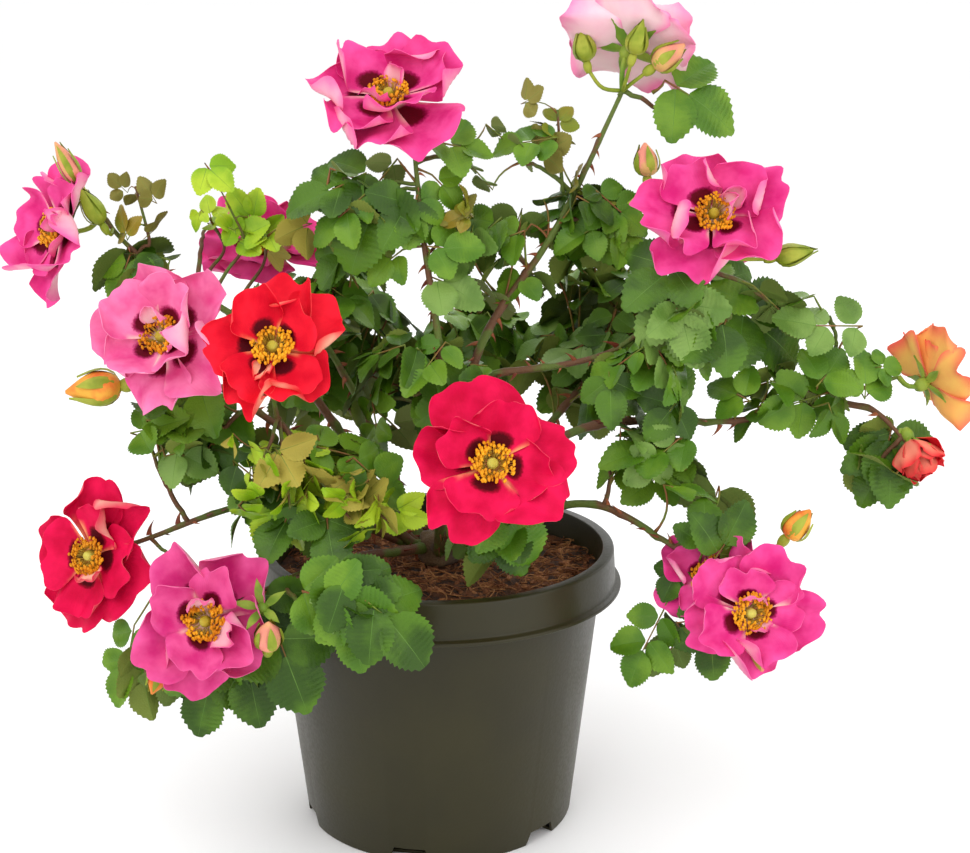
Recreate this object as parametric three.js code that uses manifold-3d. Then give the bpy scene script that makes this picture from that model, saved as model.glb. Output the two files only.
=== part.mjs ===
// A rose bush in a three-litre nursery pot.
// Millimetres, +Z up, +X to the right, +Y to the back.
// The origin is the middle of the pot's flat underside.

import * as THREE from 'three';
import { mergeVertices } from 'three/addons/utils/BufferGeometryUtils.js';
import Module from 'manifold-3d';

const wasm = await Module();
wasm.setup();

// ---------------------------------------------------------------- sizes

const CLEARANCE = 0.44; // left open between neighbouring solids
const FINEST_DETAIL = 0.1; // smaller slivers are smoothed away after a cut

const POT = {
  height: 145,
  footRadius: 70,
  wallFlare: 0.1155, // growth of the radius for each mm of height
  wall: 1.4,
  floor: 1.6,
  skirtHeight: 20.3, // the rolled band under the rim
  skirtTopRadius: 91.1,
  skirtFootRadius: 92.2,
  lipRadius: 95, // small flange at the skirt's foot
  lipThickness: 1.6,
  segments: 36,
};

const NOTCH = {
  count: 6,
  firstAzimuth: THREE.MathUtils.degToRad(-41),
  width: 22,
  height: 7,
  slope: 3, // how far each side leans in
  reachIn: 8,
};

const SOIL = {
  edgeHeight: 131,
  crestHeight: 134,
  gap: 0.6, // to the pot's wall and floor
};

// the swollen bud union that every basal cane grows from
const CROWN = {
  radius: 11,
  height: 17,
  centre: new THREE.Vector3(0, 0, SOIL.crestHeight + 0.5),
  segments: 10,
};

const CANE = {
  sides: 6,
  ringStep: 24,
  basalRadius: 2.9,
  branchRadius: 2.1,
  tipShare: 0.5, // tip radius as a share of the foot radius
};

const FOLIAGE = {
  detail: 2,
  thinDetail: 1,
  thinDepth: 17, // masses thinner than this take fewer facets
  unevenness: 0.2,
};

const BLOOM = {
  segments: 10,
  lobes: 5,
  lobeShare: 0.07,
  depthShare: 0.62,
};

// ------------------------------------------------------------ materials

function matte(colour, roughness) {
  return new THREE.MeshStandardMaterial({ color: colour, roughness, metalness: 0 });
}

const MATERIALS = {
  pot: matte('#484632', 0.5),
  soil: matte('#4a3020', 0.95),
  crown: matte('#7a6248', 0.85),
  cane: matte('#5f7a3a', 0.55),
  leaf: matte('#2f4a22', 0.6),
  youngLeaf: matte('#7c8f33', 0.55),
  pinkBloom: matte('#e0508f', 0.6),
  palePinkBloom: matte('#eb8fae', 0.6),
  redBloom: matte('#c8284a', 0.6),
  coralBloom: matte('#e2784a', 0.6),
};

// -------------------------------------------------------- solid helpers

// a closed three.js geometry as a manifold solid, moved by the matrix
function solidOf(geometry, matrix = new THREE.Matrix4()) {
  const welded = weld(geometry);
  welded.applyMatrix4(matrix);
  const index = welded.index.array;
  const corners = [];
  for (let i = 0; i < index.length; i += 3) {
    const [a, b, c] = [index[i], index[i + 1], index[i + 2]];
    if (a !== b && b !== c && c !== a) corners.push(a, b, c);
  }
  return new wasm.Manifold(new wasm.Mesh({
    numProp: 3,
    vertProperties: new Float32Array(welded.attributes.position.array),
    triVerts: new Uint32Array(corners),
  }));
}

function weld(geometry) {
  const bare = geometry.clone();
  bare.deleteAttribute('normal');
  bare.deleteAttribute('uv');
  return mergeVertices(bare, 1e-3);
}

function geometryOf(solid) {
  const mesh = solid.getMesh();
  const geometry = new THREE.BufferGeometry();
  geometry.setAttribute('position', new THREE.BufferAttribute(mesh.vertProperties, 3));
  geometry.setIndex(new THREE.BufferAttribute(mesh.triVerts, 1));
  geometry.computeVertexNormals();
  return geometry;
}

function largestBody(solid) {
  const bodies = solid.decompose();
  return bodies.reduce((best, body) => (body.volume() > best.volume() ? body : best));
}

// the same shape with every surface moved out by the distance
function grown(geometry, distance) {
  const shape = weld(geometry);
  shape.computeVertexNormals();
  const { position, normal } = shape.attributes;
  const point = new THREE.Vector3();
  const outward = new THREE.Vector3();
  for (let i = 0; i < position.count; i += 1) {
    outward.fromBufferAttribute(normal, i);
    point.fromBufferAttribute(position, i).addScaledVector(outward, distance);
    position.setXYZ(i, point.x, point.y, point.z);
  }
  return shape;
}

function moveVertices(geometry, move) {
  const { position } = geometry.attributes;
  const point = new THREE.Vector3();
  for (let i = 0; i < position.count; i += 1) {
    move(point.fromBufferAttribute(position, i));
    position.setXYZ(i, point.x, point.y, point.z);
  }
  return geometry;
}

// a lathe turned so that its axis stands along +Z
function uprightLathe(profile, segments) {
  const points = profile.map(([radius, height]) => new THREE.Vector2(radius, height));
  return new THREE.LatheGeometry(points, segments).rotateX(Math.PI / 2);
}

// ------------------------------------------------------------- assembly

const group = new THREE.Group();
const occupied = []; // what is already in place, each grown by the clearance

function boxesMeet(a, b) {
  return [0, 1, 2].every((axis) => a.min[axis] <= b.max[axis] && b.min[axis] <= a.max[axis]);
}

// adds one named mesh, cut back from everything placed before it
function addPiece(name, geometry, material, position, quaternion = new THREE.Quaternion()) {
  const mesh = new THREE.Mesh(geometry, material);
  mesh.name = name;
  mesh.position.copy(position);
  mesh.quaternion.copy(quaternion);
  mesh.updateMatrix();
  let solid = solidOf(geometry, mesh.matrix);
  const box = solid.boundingBox();
  for (const other of occupied) {
    if (boxesMeet(box, other.boundingBox())) solid = solid.subtract(other);
  }
  const body = largestBody(solid.simplify(FINEST_DETAIL));
  occupied.push(solidOf(grown(geometry, CLEARANCE), mesh.matrix));
  mesh.geometry = geometryOf(body).applyMatrix4(mesh.matrix.clone().invert());
  group.add(mesh);
  return mesh;
}

// ------------------------------------------------------------------ pot

function potRadius(height) {
  return POT.footRadius + POT.wallFlare * height;
}

function potProfile() {
  const skirtFoot = POT.height - POT.skirtHeight;
  const rimUnderside = POT.height - POT.floor;
  const inside = (height) => potRadius(height) - POT.wall;
  return [
    [0, 0],
    [POT.footRadius, 0],
    [potRadius(rimUnderside), rimUnderside],
    [POT.skirtTopRadius - POT.wall, rimUnderside],
    [POT.skirtFootRadius - POT.wall, skirtFoot],
    [POT.lipRadius, skirtFoot],
    [POT.lipRadius, skirtFoot + POT.lipThickness],
    [POT.skirtFootRadius, skirtFoot + POT.lipThickness * 1.6],
    [POT.skirtTopRadius, POT.height],
    [inside(POT.height), POT.height],
    [inside(POT.floor), POT.floor],
    [0, POT.floor],
  ];
}

// a drainage notch: a trapezium standing in the corner of wall and floor
function notchGeometry() {
  const half = NOTCH.width / 2;
  const outline = new THREE.Shape([
    new THREE.Vector2(-half, -1),
    new THREE.Vector2(half, -1),
    new THREE.Vector2(half - NOTCH.slope, NOTCH.height),
    new THREE.Vector2(-half + NOTCH.slope, NOTCH.height),
  ]);
  const depth = NOTCH.reachIn * 2;
  const prism = new THREE.ExtrudeGeometry(outline, { depth, bevelEnabled: false });
  return prism.rotateX(Math.PI / 2).rotateZ(Math.PI / 2).translate(POT.footRadius - NOTCH.reachIn, 0, 0);
}

function potGeometry() {
  let pot = solidOf(uprightLathe(potProfile(), POT.segments));
  for (let i = 0; i < NOTCH.count; i += 1) {
    const azimuth = NOTCH.firstAzimuth + (i * 2 * Math.PI) / NOTCH.count;
    pot = pot.subtract(solidOf(notchGeometry(), new THREE.Matrix4().makeRotationZ(azimuth)));
  }
  return geometryOf(pot);
}

function soilGeometry() {
  const foot = POT.floor + SOIL.gap;
  const inside = (height) => potRadius(height) - POT.wall - SOIL.gap;
  return uprightLathe([
    [0, foot],
    [inside(foot), foot],
    [inside(SOIL.edgeHeight), SOIL.edgeHeight],
    [CROWN.radius * 3, SOIL.crestHeight],
    [0, SOIL.crestHeight],
  ], POT.segments);
}

function crownGeometry() {
  const { radius, height } = CROWN;
  return uprightLathe([
    [0, 0],
    [radius * 0.72, 0],
    [radius, height * 0.42],
    [radius * 0.78, height * 0.85],
    [0, height],
  ], CROWN.segments);
}

// ---------------------------------------------------------------- canes

// A cane leaves its foot, passes its way points and ends at its tip. A
// basal cane's foot is on the crown; a branch names its parent and how
// far along it grows.
const CANES = [
  { name: 'cane_top_right', through: [[20, -12, 246], [60, 6, 308]], tip: [93, 24, 374] },
  { name: 'cane_top_centre', through: [[3, -32, 246], [-5, -25, 305]], tip: [-10, -14, 352] },
  { name: 'cane_right_long', through: [[66, -10, 206], [164, -8, 214]], tip: [236, 10, 231] },
  { name: 'cane_left_high', through: [[-84, 0, 250], [-152, 5, 297]], tip: [-174, 9, 326] },
  { name: 'cane_left_middle', through: [[-66, -34, 208]], tip: [-117, -54, 251] },
  { name: 'cane_behind_left', through: [[-46, 34, 220]], tip: [-86, 46, 280] },
  { name: 'cane_back_left', through: [[-44, 54, 196]], tip: [-82, 94, 238] },
  { name: 'cane_back_centre', through: [[8, 74, 180]], tip: [28, 118, 160] },
  { name: 'cane_back_right', through: [[66, 50, 204], [116, 76, 258]], tip: [140, 86, 288] },
  { name: 'cane_low_left', through: [[-78, -34, 178]], tip: [-158, -53, 158] },
  { name: 'cane_front_left', through: [[-50, -64, 156]], tip: [-98, -99, 145] },
  { name: 'cane_low_right', through: [[76, -26, 174]], tip: [132, -62, 152] },
  { name: 'cane_front', through: [[14, -44, 178]], tip: [26, -88, 204] },
  {
    name: 'cane_right_high', parent: 'cane_top_right', along: 0.36, through: [[92, -14, 252]], tip: [133, -20, 303],
  },
  {
    name: 'cane_left_front', parent: 'cane_left_middle', along: 0.5, through: [[-74, -60, 228]], tip: [-73, -76, 252],
  },
  {
    name: 'cane_right_low', parent: 'cane_right_long', along: 0.84, through: [[222, -4, 216]], tip: [240, -9, 198],
  },
];

// a tapering round bar, lathed straight and then bent along the curve
function caneGeometry(curve, footRadius, tipRadius) {
  const rings = Math.max(4, Math.round(curve.getLength() / CANE.ringStep));
  const frames = curve.computeFrenetFrames(rings);
  const profile = [[0, 0]];
  for (let ring = 0; ring <= rings; ring += 1) {
    profile.push([THREE.MathUtils.lerp(footRadius, tipRadius, ring / rings), ring]);
  }
  profile.push([0, rings]);
  const bar = uprightLathe(profile, CANE.sides);
  return moveVertices(bar, (point) => {
    const ring = Math.round(point.z);
    const { x, y } = point;
    point.copy(curve.getPointAt(ring / rings));
    point.addScaledVector(frames.normals[ring], x);
    point.addScaledVector(frames.binormals[ring], y);
  });
}

// where a basal cane leaves the crown, on the side that it leans to
function basalFoot([x, y]) {
  const side = new THREE.Vector2(x, y).setLength(CROWN.radius * 1.1);
  return CROWN.centre.clone().add(new THREE.Vector3(side.x, side.y, CROWN.height * 0.6));
}

function addCanes() {
  const curves = new Map();
  for (const { name, parent, along, through, tip } of CANES) {
    const foot = parent ? curves.get(parent).getPointAt(along) : basalFoot(through[0]);
    const route = [...through, tip].map((point) => new THREE.Vector3(...point));
    const curve = new THREE.CatmullRomCurve3([foot, ...route]);
    curves.set(name, curve);
    const radius = parent ? CANE.branchRadius : CANE.basalRadius;
    const bar = caneGeometry(curve, radius, radius * CANE.tipShare);
    addPiece(name, bar.translate(-foot.x, -foot.y, -foot.z), MATERIALS.cane, foot);
  }
}

// --------------------------------------------------------------- blooms

// Each bloom is a shallow, lobed bowl of its own radius. It faces the way
// its azimuth (from +X towards +Y) and elevation say, in degrees.
const BLOOMS = [
  { name: 'bloom_top_centre', at: [-22, -12, 376], radius: 38, azimuth: -95, elevation: 48, colour: 'pinkBloom' },
  { name: 'bloom_top_right', at: [97, 30, 399], radius: 35, azimuth: 70, elevation: 38, colour: 'palePinkBloom' },
  { name: 'bloom_right', at: [134, -27, 320], radius: 37, azimuth: -85, elevation: 28, colour: 'pinkBloom' },
  { name: 'bloom_left_high', at: [-190, 0, 309], radius: 36, azimuth: -142, elevation: 16, colour: 'pinkBloom' },
  { name: 'bloom_left_pink', at: [-127, -62, 267], radius: 35, azimuth: -110, elevation: 30, colour: 'palePinkBloom' },
  { name: 'bloom_left_red', at: [-72, -85, 267], radius: 33, azimuth: -88, elevation: 35, colour: 'redBloom' },
  { name: 'bloom_front_red', at: [28, -99, 216], radius: 38, azimuth: -86, elevation: 28, colour: 'redBloom' },
  { name: 'bloom_low_left_red', at: [-173, -56, 156], radius: 36, azimuth: -125, elevation: 12, colour: 'redBloom' },
  { name: 'bloom_low_left_pink', at: [-108, -107, 140], radius: 34, azimuth: -100, elevation: 15, colour: 'pinkBloom' },
  { name: 'bloom_low_right', at: [150, -84, 138], radius: 31, azimuth: -80, elevation: 14, colour: 'pinkBloom' },
  { name: 'bloom_low_right_behind', at: [133, -66, 150], radius: 30, azimuth: -110, elevation: 30, colour: 'pinkBloom' },
  { name: 'bloom_behind_left', at: [-90, 42, 297], radius: 33, azimuth: -98, elevation: 38, colour: 'palePinkBloom' },
  { name: 'bloom_far_right', at: [255, 12, 230], radius: 27, azimuth: 25, elevation: 20, colour: 'coralBloom' },
  { name: 'bloom_back_centre', at: [32, 146, 156], radius: 35, azimuth: 86, elevation: 22, colour: 'redBloom' },
  { name: 'bloom_back_right', at: [151, 98, 302], radius: 34, azimuth: 52, elevation: 34, colour: 'pinkBloom' },
];

function bloomGeometry(radius) {
  const depth = radius * BLOOM.depthShare;
  const bowl = uprightLathe([
    [0, -depth * 0.62],
    [radius * 0.3, -depth * 0.55],
    [radius * 0.78, -depth * 0.2],
    [radius, depth * 0.2],
    [radius * 0.86, depth * 0.38],
    [radius * 0.4, depth * 0.12],
    [0, depth * 0.06],
  ], BLOOM.segments);
  return moveVertices(bowl, (point) => {
    const lobe = 1 + BLOOM.lobeShare * Math.cos(BLOOM.lobes * Math.atan2(point.y, point.x));
    point.x *= lobe;
    point.y *= lobe;
  });
}

function facing(azimuth, elevation) {
  const around = THREE.MathUtils.degToRad(azimuth);
  const up = THREE.MathUtils.degToRad(elevation);
  const level = Math.cos(up);
  const way = new THREE.Vector3(Math.cos(around) * level, Math.sin(around) * level, Math.sin(up));
  return new THREE.Quaternion().setFromUnitVectors(new THREE.Vector3(0, 0, 1), way);
}

function addBlooms() {
  for (const { name, at, radius, azimuth, elevation, colour } of BLOOMS) {
    const position = new THREE.Vector3(...at);
    addPiece(name, bloomGeometry(radius), MATERIALS[colour], position, facing(azimuth, elevation));
  }
}

// ------------------------------------------------------- foliage masses

// Each mass is an uneven ellipsoid: its centre and its half sizes across,
// deep and high. Masses that overhang the pot's edge are thin pads.
const MASSES = [
  { name: 'foliage_top_centre', at: [-36, -20, 318], half: [36, 15, 23] },
  { name: 'foliage_between_tops', at: [28, 2, 342], half: [33, 12, 15] },
  { name: 'foliage_top_right', at: [129, 32, 368], half: [22, 12, 20], young: true },
  { name: 'foliage_upper_right', at: [79, 18, 300], half: [33, 26, 29] },
  { name: 'foliage_upper_middle', at: [30, 4, 288], half: [26, 24, 31] },
  { name: 'foliage_under_right_bloom', at: [126, -28, 262], half: [29, 18, 24] },
  { name: 'foliage_right_shoulder', at: [184, -10, 265], half: [29, 14, 24] },
  { name: 'foliage_right_middle', at: [100, -26, 231], half: [28, 22, 24] },
  { name: 'foliage_right_long', at: [178, -8, 215], half: [36, 12, 17] },
  { name: 'foliage_right_tip', at: [229, -2, 186], half: [27, 11, 23] },
  { name: 'foliage_right_low', at: [106, -28, 192], half: [36, 18, 19] },
  { name: 'foliage_centre', at: [-12, -26, 228], half: [34, 32, 32] },
  { name: 'foliage_upper_left', at: [-52, 6, 272], half: [35, 24, 24] },
  { name: 'foliage_left_back', at: [-96, 20, 292], half: [30, 12, 20], young: true },
  { name: 'foliage_left_high', at: [-156, 8, 280], half: [22, 12, 19], young: true },
  { name: 'foliage_left', at: [-122, -42, 211], half: [35, 20, 24] },
  { name: 'foliage_left_low', at: [-62, -56, 186], half: [42, 28, 30] },
  { name: 'foliage_rim_left', at: [-34, -112, 149], half: [36, 10, 22] },
  { name: 'foliage_low_left', at: [-113, -76, 107], half: [46, 10, 35] },
  { name: 'foliage_front', at: [30, -66, 168], half: [40, 16, 20] },
  { name: 'foliage_low_right', at: [130, -46, 174], half: [25, 11, 17] },
  { name: 'foliage_low_right_under', at: [118, -60, 108], half: [27, 10, 22] },
  { name: 'foliage_back_left', at: [-66, 78, 222], half: [50, 38, 44] },
  { name: 'foliage_back_centre', at: [14, 106, 212], half: [46, 38, 42] },
  { name: 'foliage_back_right', at: [96, 76, 226], half: [46, 38, 46] },
];

function massGeometry(half, phase) {
  const detail = half.y < FOLIAGE.thinDepth ? FOLIAGE.thinDetail : FOLIAGE.detail;
  return moveVertices(new THREE.IcosahedronGeometry(1, detail), (point) => {
    const { x, y, z } = point;
    const swell = Math.sin(4.1 * x + phase) + Math.sin(3.7 * y + 2.3 * phase) + Math.sin(4.6 * z + 3.1 * phase);
    point.multiply(half).multiplyScalar(1 + (FOLIAGE.unevenness * swell) / 3);
  });
}

function addMasses() {
  MASSES.forEach(({ name, at, half, young }, row) => {
    const material = young ? MATERIALS.youngLeaf : MATERIALS.leaf;
    addPiece(name, massGeometry(new THREE.Vector3(...half), row + 1), material, new THREE.Vector3(...at));
  });
}

// ---------------------------------------------------------------- build

const ORIGIN = new THREE.Vector3();

addPiece('pot', potGeometry(), MATERIALS.pot, ORIGIN);
addPiece('soil', soilGeometry(), MATERIALS.soil, ORIGIN);
addPiece('crown_stem', crownGeometry(), MATERIALS.crown, CROWN.centre);
addCanes();
addBlooms();
addMasses();

export default group;
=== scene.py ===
"""A rose bush in its nursery pot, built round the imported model.

Lengths are in millimetres until a mesh is made, and every piece is placed from the frame.
"""

import math

import bpy
import numpy as np
from bpy.props import FloatProperty, FloatVectorProperty, IntProperty, PointerProperty
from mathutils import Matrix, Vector, noise


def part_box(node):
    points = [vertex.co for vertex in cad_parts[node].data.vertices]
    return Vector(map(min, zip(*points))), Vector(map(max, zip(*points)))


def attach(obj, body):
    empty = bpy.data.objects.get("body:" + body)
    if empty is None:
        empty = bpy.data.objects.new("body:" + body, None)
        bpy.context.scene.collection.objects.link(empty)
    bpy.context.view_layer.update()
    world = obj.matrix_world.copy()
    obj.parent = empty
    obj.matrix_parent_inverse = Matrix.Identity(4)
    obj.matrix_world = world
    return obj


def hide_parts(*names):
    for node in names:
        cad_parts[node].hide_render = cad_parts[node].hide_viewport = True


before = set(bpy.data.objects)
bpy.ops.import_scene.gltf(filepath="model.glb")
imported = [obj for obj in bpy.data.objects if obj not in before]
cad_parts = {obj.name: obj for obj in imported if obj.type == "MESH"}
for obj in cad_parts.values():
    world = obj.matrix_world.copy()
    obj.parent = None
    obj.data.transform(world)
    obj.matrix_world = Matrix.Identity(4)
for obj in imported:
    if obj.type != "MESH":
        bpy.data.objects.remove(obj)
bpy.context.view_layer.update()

bl_info = {
    "name": "Potted rose bush",
    "version": (1, 0, 0),
    "blender": (4, 5, 0),
    "location": "View3D > Sidebar > Rose",
    "description": "Builds a rose bush with leaves, thorns and blooms in its nursery pot",
    "category": "Add Mesh",
}

MM = 0.001
UP = np.array([0.0, 0.0, 1.0])
BODY = "root"
SEED = 20
PETAL_MAP = "petal"  # the UV map that places a point across and along its petal


# ---------------------------------------------------------------------------
# Settings that a user would change


def number(name, description, default):
    """A setting that is a plain number."""
    return FloatProperty(name=name, description=description, default=default)


def whole(name, description, default, least=0):
    """A setting that is a whole number."""
    return IntProperty(name=name, description=description, default=default, min=least)


def colour(name, description, default):
    """A setting that is a colour."""
    return FloatVectorProperty(name=name, description=description, size=3, subtype="COLOR", default=default)


class StageSettings(bpy.types.PropertyGroup):
    """Camera, floor and light."""

    camera_place: FloatVectorProperty(
        name="Camera place", description="Where the camera stands", size=3, subtype="TRANSLATION",
        unit="LENGTH", default=(0.0244, -0.853, 0.429))
    camera_pitch: FloatProperty(
        name="Camera pitch", description="How far the camera looks down", subtype="ANGLE",
        default=math.radians(14.57))
    focal_length: number("Focal length", "Lens on a 36 mm sensor, in millimetres", 64.17)
    floor_colour: colour("Floor", "Colour of the studio floor", (0.95, 0.95, 0.95))
    light_power: FloatProperty(
        name="Light", description="Power of the large soft light", unit="POWER", default=10.0)


class PotSettings(bpy.types.PropertyGroup):
    """The nursery pot and what is in it."""

    colour: colour("Plastic", "Colour of the moulded plastic", (0.0235, 0.0205, 0.005))
    wall: number("Wall", "Thickness of the wall, in mm", 1.4)
    segments: whole("Segments", "Flat faces round the pot", 144, 24)
    notch_width: number("Notch width", "Width of a drainage notch at the floor, in mm", 22.0)
    notch_height: number("Notch height", "Height of a drainage notch, in mm", 7.0)
    chips: whole("Bark chips", "Chips of bark lying on the soil", 520)
    fibres: whole("Fibres", "Strands of coir lying on the soil", 700)


class CaneSettings(bpy.types.PropertyGroup):
    """The canes, their bark and their thorns."""

    sides: whole("Sides", "Faces round a cane", 12, 5)
    joint_gap: number("Joint gap", "Distance between two leaf joints on a cane, in mm", 19.0)
    thorn_gap: number("Thorn gap", "Distance between two thorns along a cane, in mm", 7.0)
    thorn_length: number("Thorn length", "Length of a full-grown thorn, in mm", 6.4)
    green: colour("Green bark", "Bark of young canes", (0.105, 0.150, 0.026))
    red: colour("Red bark", "Bark where the sun has caught it", (0.145, 0.066, 0.032))


class LeafSettings(bpy.types.PropertyGroup):
    """Leaves and the twigs that carry them."""

    density: number("Density", "Leaves for each 1000 square millimetres of a mass", 1.9)
    leaflet_length: number("Leaflet", "Length of a full-grown leaflet, in mm", 25.0)
    leaflet_width: number("Leaflet width", "Width as a share of the length", 0.86)
    stray: number("Stray", "How far a leaf may reach out of its mass, in mm", 11.0)
    axil_gap: number("Axil gap", "Distance between two leaves on a twig, in mm", 11.0)


class BloomSettings(bpy.types.PropertyGroup):
    """Petals and stamens."""

    stamens: whole("Stamens", "Stamens in a bloom", 190)
    petal_thickness: number("Petal thickness", "Thickness of a petal, in mm", 0.25)


# ---------------------------------------------------------------------------
# Numbers and shapes


def unit(vector):
    """The vector with length one."""
    return vector / max(np.linalg.norm(vector), 1e-9)


def across(direction, facing):
    """Unit side, forward and up vectors of something that runs along a direction and faces up."""
    forward = unit(direction)
    upward = facing - forward * np.dot(facing, forward)
    if np.linalg.norm(upward) < 1e-4:
        upward = np.cross(forward, (0.3, 0.9, 0.1))
    upward = unit(upward)
    return np.cross(forward, upward), forward, upward


def smooth_step(low, high, values):
    """0 below low, 1 above high and a smooth ramp between."""
    share = np.clip((values - low) / (high - low), 0.0, 1.0)
    return share * share * (3.0 - 2.0 * share)


def smooth_route(points, step):
    """A smooth curve through the points, cut into even steps."""
    points = np.asarray(points, float)
    ends = [2 * points[0] - points[1], *points, 2 * points[-1] - points[-2]]
    dense = []
    share = np.linspace(0, 1, 16, endpoint=False)[:, None]
    for before, start, stop, after in zip(ends, ends[1:], ends[2:], ends[3:]):
        dense.append(0.5 * (2 * start + (stop - before) * share
                            + (2 * before - 5 * start + 4 * stop - after) * share**2
                            + (3 * start - before - 3 * stop + after) * share**3))
    dense = np.vstack([*dense, points[-1:]])
    along = np.concatenate([[0], np.cumsum(np.linalg.norm(np.diff(dense, axis=0), axis=1))])
    places = np.linspace(0, along[-1], max(3, round(along[-1] / step) + 1))
    return np.stack([np.interp(places, along, dense[:, axis]) for axis in range(3)], axis=1)


def bent_route(start, stop, leaving, bow, step):
    """A curve from start to stop that sets off along a direction, with its bow as a share."""
    reach = np.linalg.norm(stop - start)
    middle = start + unit(leaving) * reach * bow + (stop - start) * (0.5 - bow * 0.4)
    share = np.linspace(0, 1, max(4, round(reach / step) + 1))[:, None]
    return (1 - share)**2 * start + 2 * share * (1 - share) * middle + share**2 * stop


def tube(route, radii, sides):
    """Points and faces of a closed tube along the route, one radius for each point of it."""
    tangents = np.gradient(route, axis=0)
    side = np.cross(tangents[0], UP if abs(unit(tangents[0])[2]) < 0.9 else (1.0, 0.0, 0.0))
    turns = np.linspace(0, 2 * np.pi, sides, endpoint=False)
    rings = []
    for place, tangent, radius in zip(route, tangents, radii):
        side = unit(side - tangent * np.dot(side, tangent) / np.dot(tangent, tangent))
        other = unit(np.cross(tangent, side))
        rings.append(place + radius * (np.outer(np.cos(turns), side) + np.outer(np.sin(turns), other)))
    count = len(rings)
    ring = np.arange(sides)
    after = np.roll(ring, -1)
    walls = [np.stack([ring, after, after + sides, ring + sides], 1) + sides * i for i in range(count - 1)]
    caps = [ring[::-1][None, :], ring[None, :] + sides * (count - 1)]
    return np.vstack(rings), [np.vstack(walls), *caps]


def grid_faces(rows, columns):
    """Quads between neighbouring points of a grid that is stored row by row."""
    low = (np.arange(rows - 1)[:, None] * columns + np.arange(columns - 1)).ravel()
    return np.stack([low, low + 1, low + columns + 1, low + columns], 1)


class Heap:
    """Many small meshes of one kind, gathered to be joined into one piece."""

    def __init__(self):
        self.points, self.faces, self.slots, self.places = [], [], [], []
        self.total = 0

    def add(self, points, blocks, slot=0, places=None):
        """Adds points with blocks of faces. Slot is one number, or one for each face of one block."""
        for block in blocks:
            self.faces.append(block + self.total)
            self.slots.append(np.broadcast_to(slot, len(block)))
        self.points.append(points)
        self.places.append(np.zeros((len(points), 2)) if places is None else places)
        self.total += len(points)

    def mesh(self, name, materials):
        """The whole heap as one smooth mesh, in metres."""
        mesh = bpy.data.meshes.new(name)
        faces = [face for block in self.faces for face in block.tolist()]
        mesh.from_pydata((np.vstack(self.points) * MM).tolist(), [], faces)
        for material in materials:
            mesh.materials.append(material)
        mesh.polygons.foreach_set("material_index", np.concatenate(self.slots).astype(np.int32))
        corners = np.empty(len(mesh.loops), np.int32)
        mesh.loops.foreach_get("vertex_index", corners)
        layer = mesh.uv_layers.new(name=PETAL_MAP)
        layer.uv.foreach_set("vector", np.vstack(self.places)[corners].astype(np.float32).ravel())
        mesh.shade_smooth()
        mesh.update()
        return mesh


def add_object(name, mesh):
    """A linked object for the mesh, at the origin."""
    made = bpy.data.objects.new(name, mesh)
    bpy.context.scene.collection.objects.link(made)
    return made


def declare(made, slot, *nodes):
    """Makes an object a piece, which rides on its body and stands for the named nodes."""
    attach(made, BODY)
    if nodes:
        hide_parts(*nodes)


def add_piece(name, heap, materials, slot, *nodes):
    """A piece of the plant made of everything in the heap."""
    made = add_object(name, heap.mesh(name, materials))
    declare(made, slot, *nodes)
    return made


def applied(made):
    """Replaces an object's mesh with what its modifiers make of it."""
    graph = bpy.context.evaluated_depsgraph_get()
    mesh = bpy.data.meshes.new_from_object(made.evaluated_get(graph))
    made.modifiers.clear()
    made.data = mesh
    return mesh


# ---------------------------------------------------------------------------
# What the frame says


def nodes_named(start):
    """The frame's nodes whose names start that way, in order."""
    return sorted(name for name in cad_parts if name.startswith(start))


def corners_of(mesh):
    """A mesh's corners, in metres."""
    corners = np.empty(len(mesh.vertices) * 3)
    mesh.vertices.foreach_get("co", corners)
    return corners.reshape(-1, 3)


def node_points(name):
    """A node's separate corners, in millimetres."""
    return np.unique(np.round(corners_of(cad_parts[name].data) / MM, 2), axis=0)


def node_box(name):
    """A node's centre and half sizes, in millimetres."""
    low, high = (np.array(corner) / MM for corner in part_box(name))
    return (low + high) / 2, (high - low) / 2


CROWN_CENTRE, CROWN_HALF = node_box("crown_stem")
POT_POINTS = node_points("pot")
POT_TOP = POT_POINTS[:, 2].max()
POT_EDGE = np.hypot(POT_POINTS[:, 0], POT_POINTS[:, 1]).max()
POT_MOUTH = np.hypot(*POT_POINTS[POT_POINTS[:, 2] > POT_TOP - 0.01, :2].T).min()
SOIL_TOP = node_points("soil")[:, 2].max()
RING_REACH = 5.0  # corners of one ring of a cane's solid are closer together than this
WIDEST_RING = 1.3  # no ring counts as more than this many times as wide as the middle one
BRANCH_GAP = 2.5  # a cane that starts this many half heights from the crown is a branch
RIM_PERCENTILE = 92  # of the distances from a bloom's axis, which gives its radius
WOOD_STEP = 2.5  # between two points of a cane's or twig's route


def rings_of(points):
    """Groups the corners of a cane's solid into its rings."""
    left = list(range(len(points)))
    rings = []
    while left:
        ring = [left.pop()]
        for index in ring:
            gaps = np.linalg.norm(points[left] - points[index], axis=1) if left else np.zeros(0)
            near = [left[i] for i in np.where(gaps < RING_REACH)[0]]
            ring.extend(near)
            left = [other for other in left if other not in near]
        rings.append(points[ring])
    return rings


def cane_axis(name):
    """Centres and radii of the rings of a cane's solid, from its foot to its tip."""
    rings = rings_of(node_points(name))
    centres = np.array([ring.mean(0) for ring in rings])
    radii = np.array([np.linalg.norm(ring - ring.mean(0), axis=1).max() for ring in rings])
    left = list(range(len(rings)))
    order = [min(left, key=lambda i: np.linalg.norm(centres[i] - CROWN_CENTRE))]
    left.remove(order[0])
    while left:
        order.append(min(left, key=lambda i: np.linalg.norm(centres[i] - centres[order[-1]])))
        left.remove(order[-1])
    return centres[order], np.minimum(radii[order], np.median(radii) * WIDEST_RING)


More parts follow.
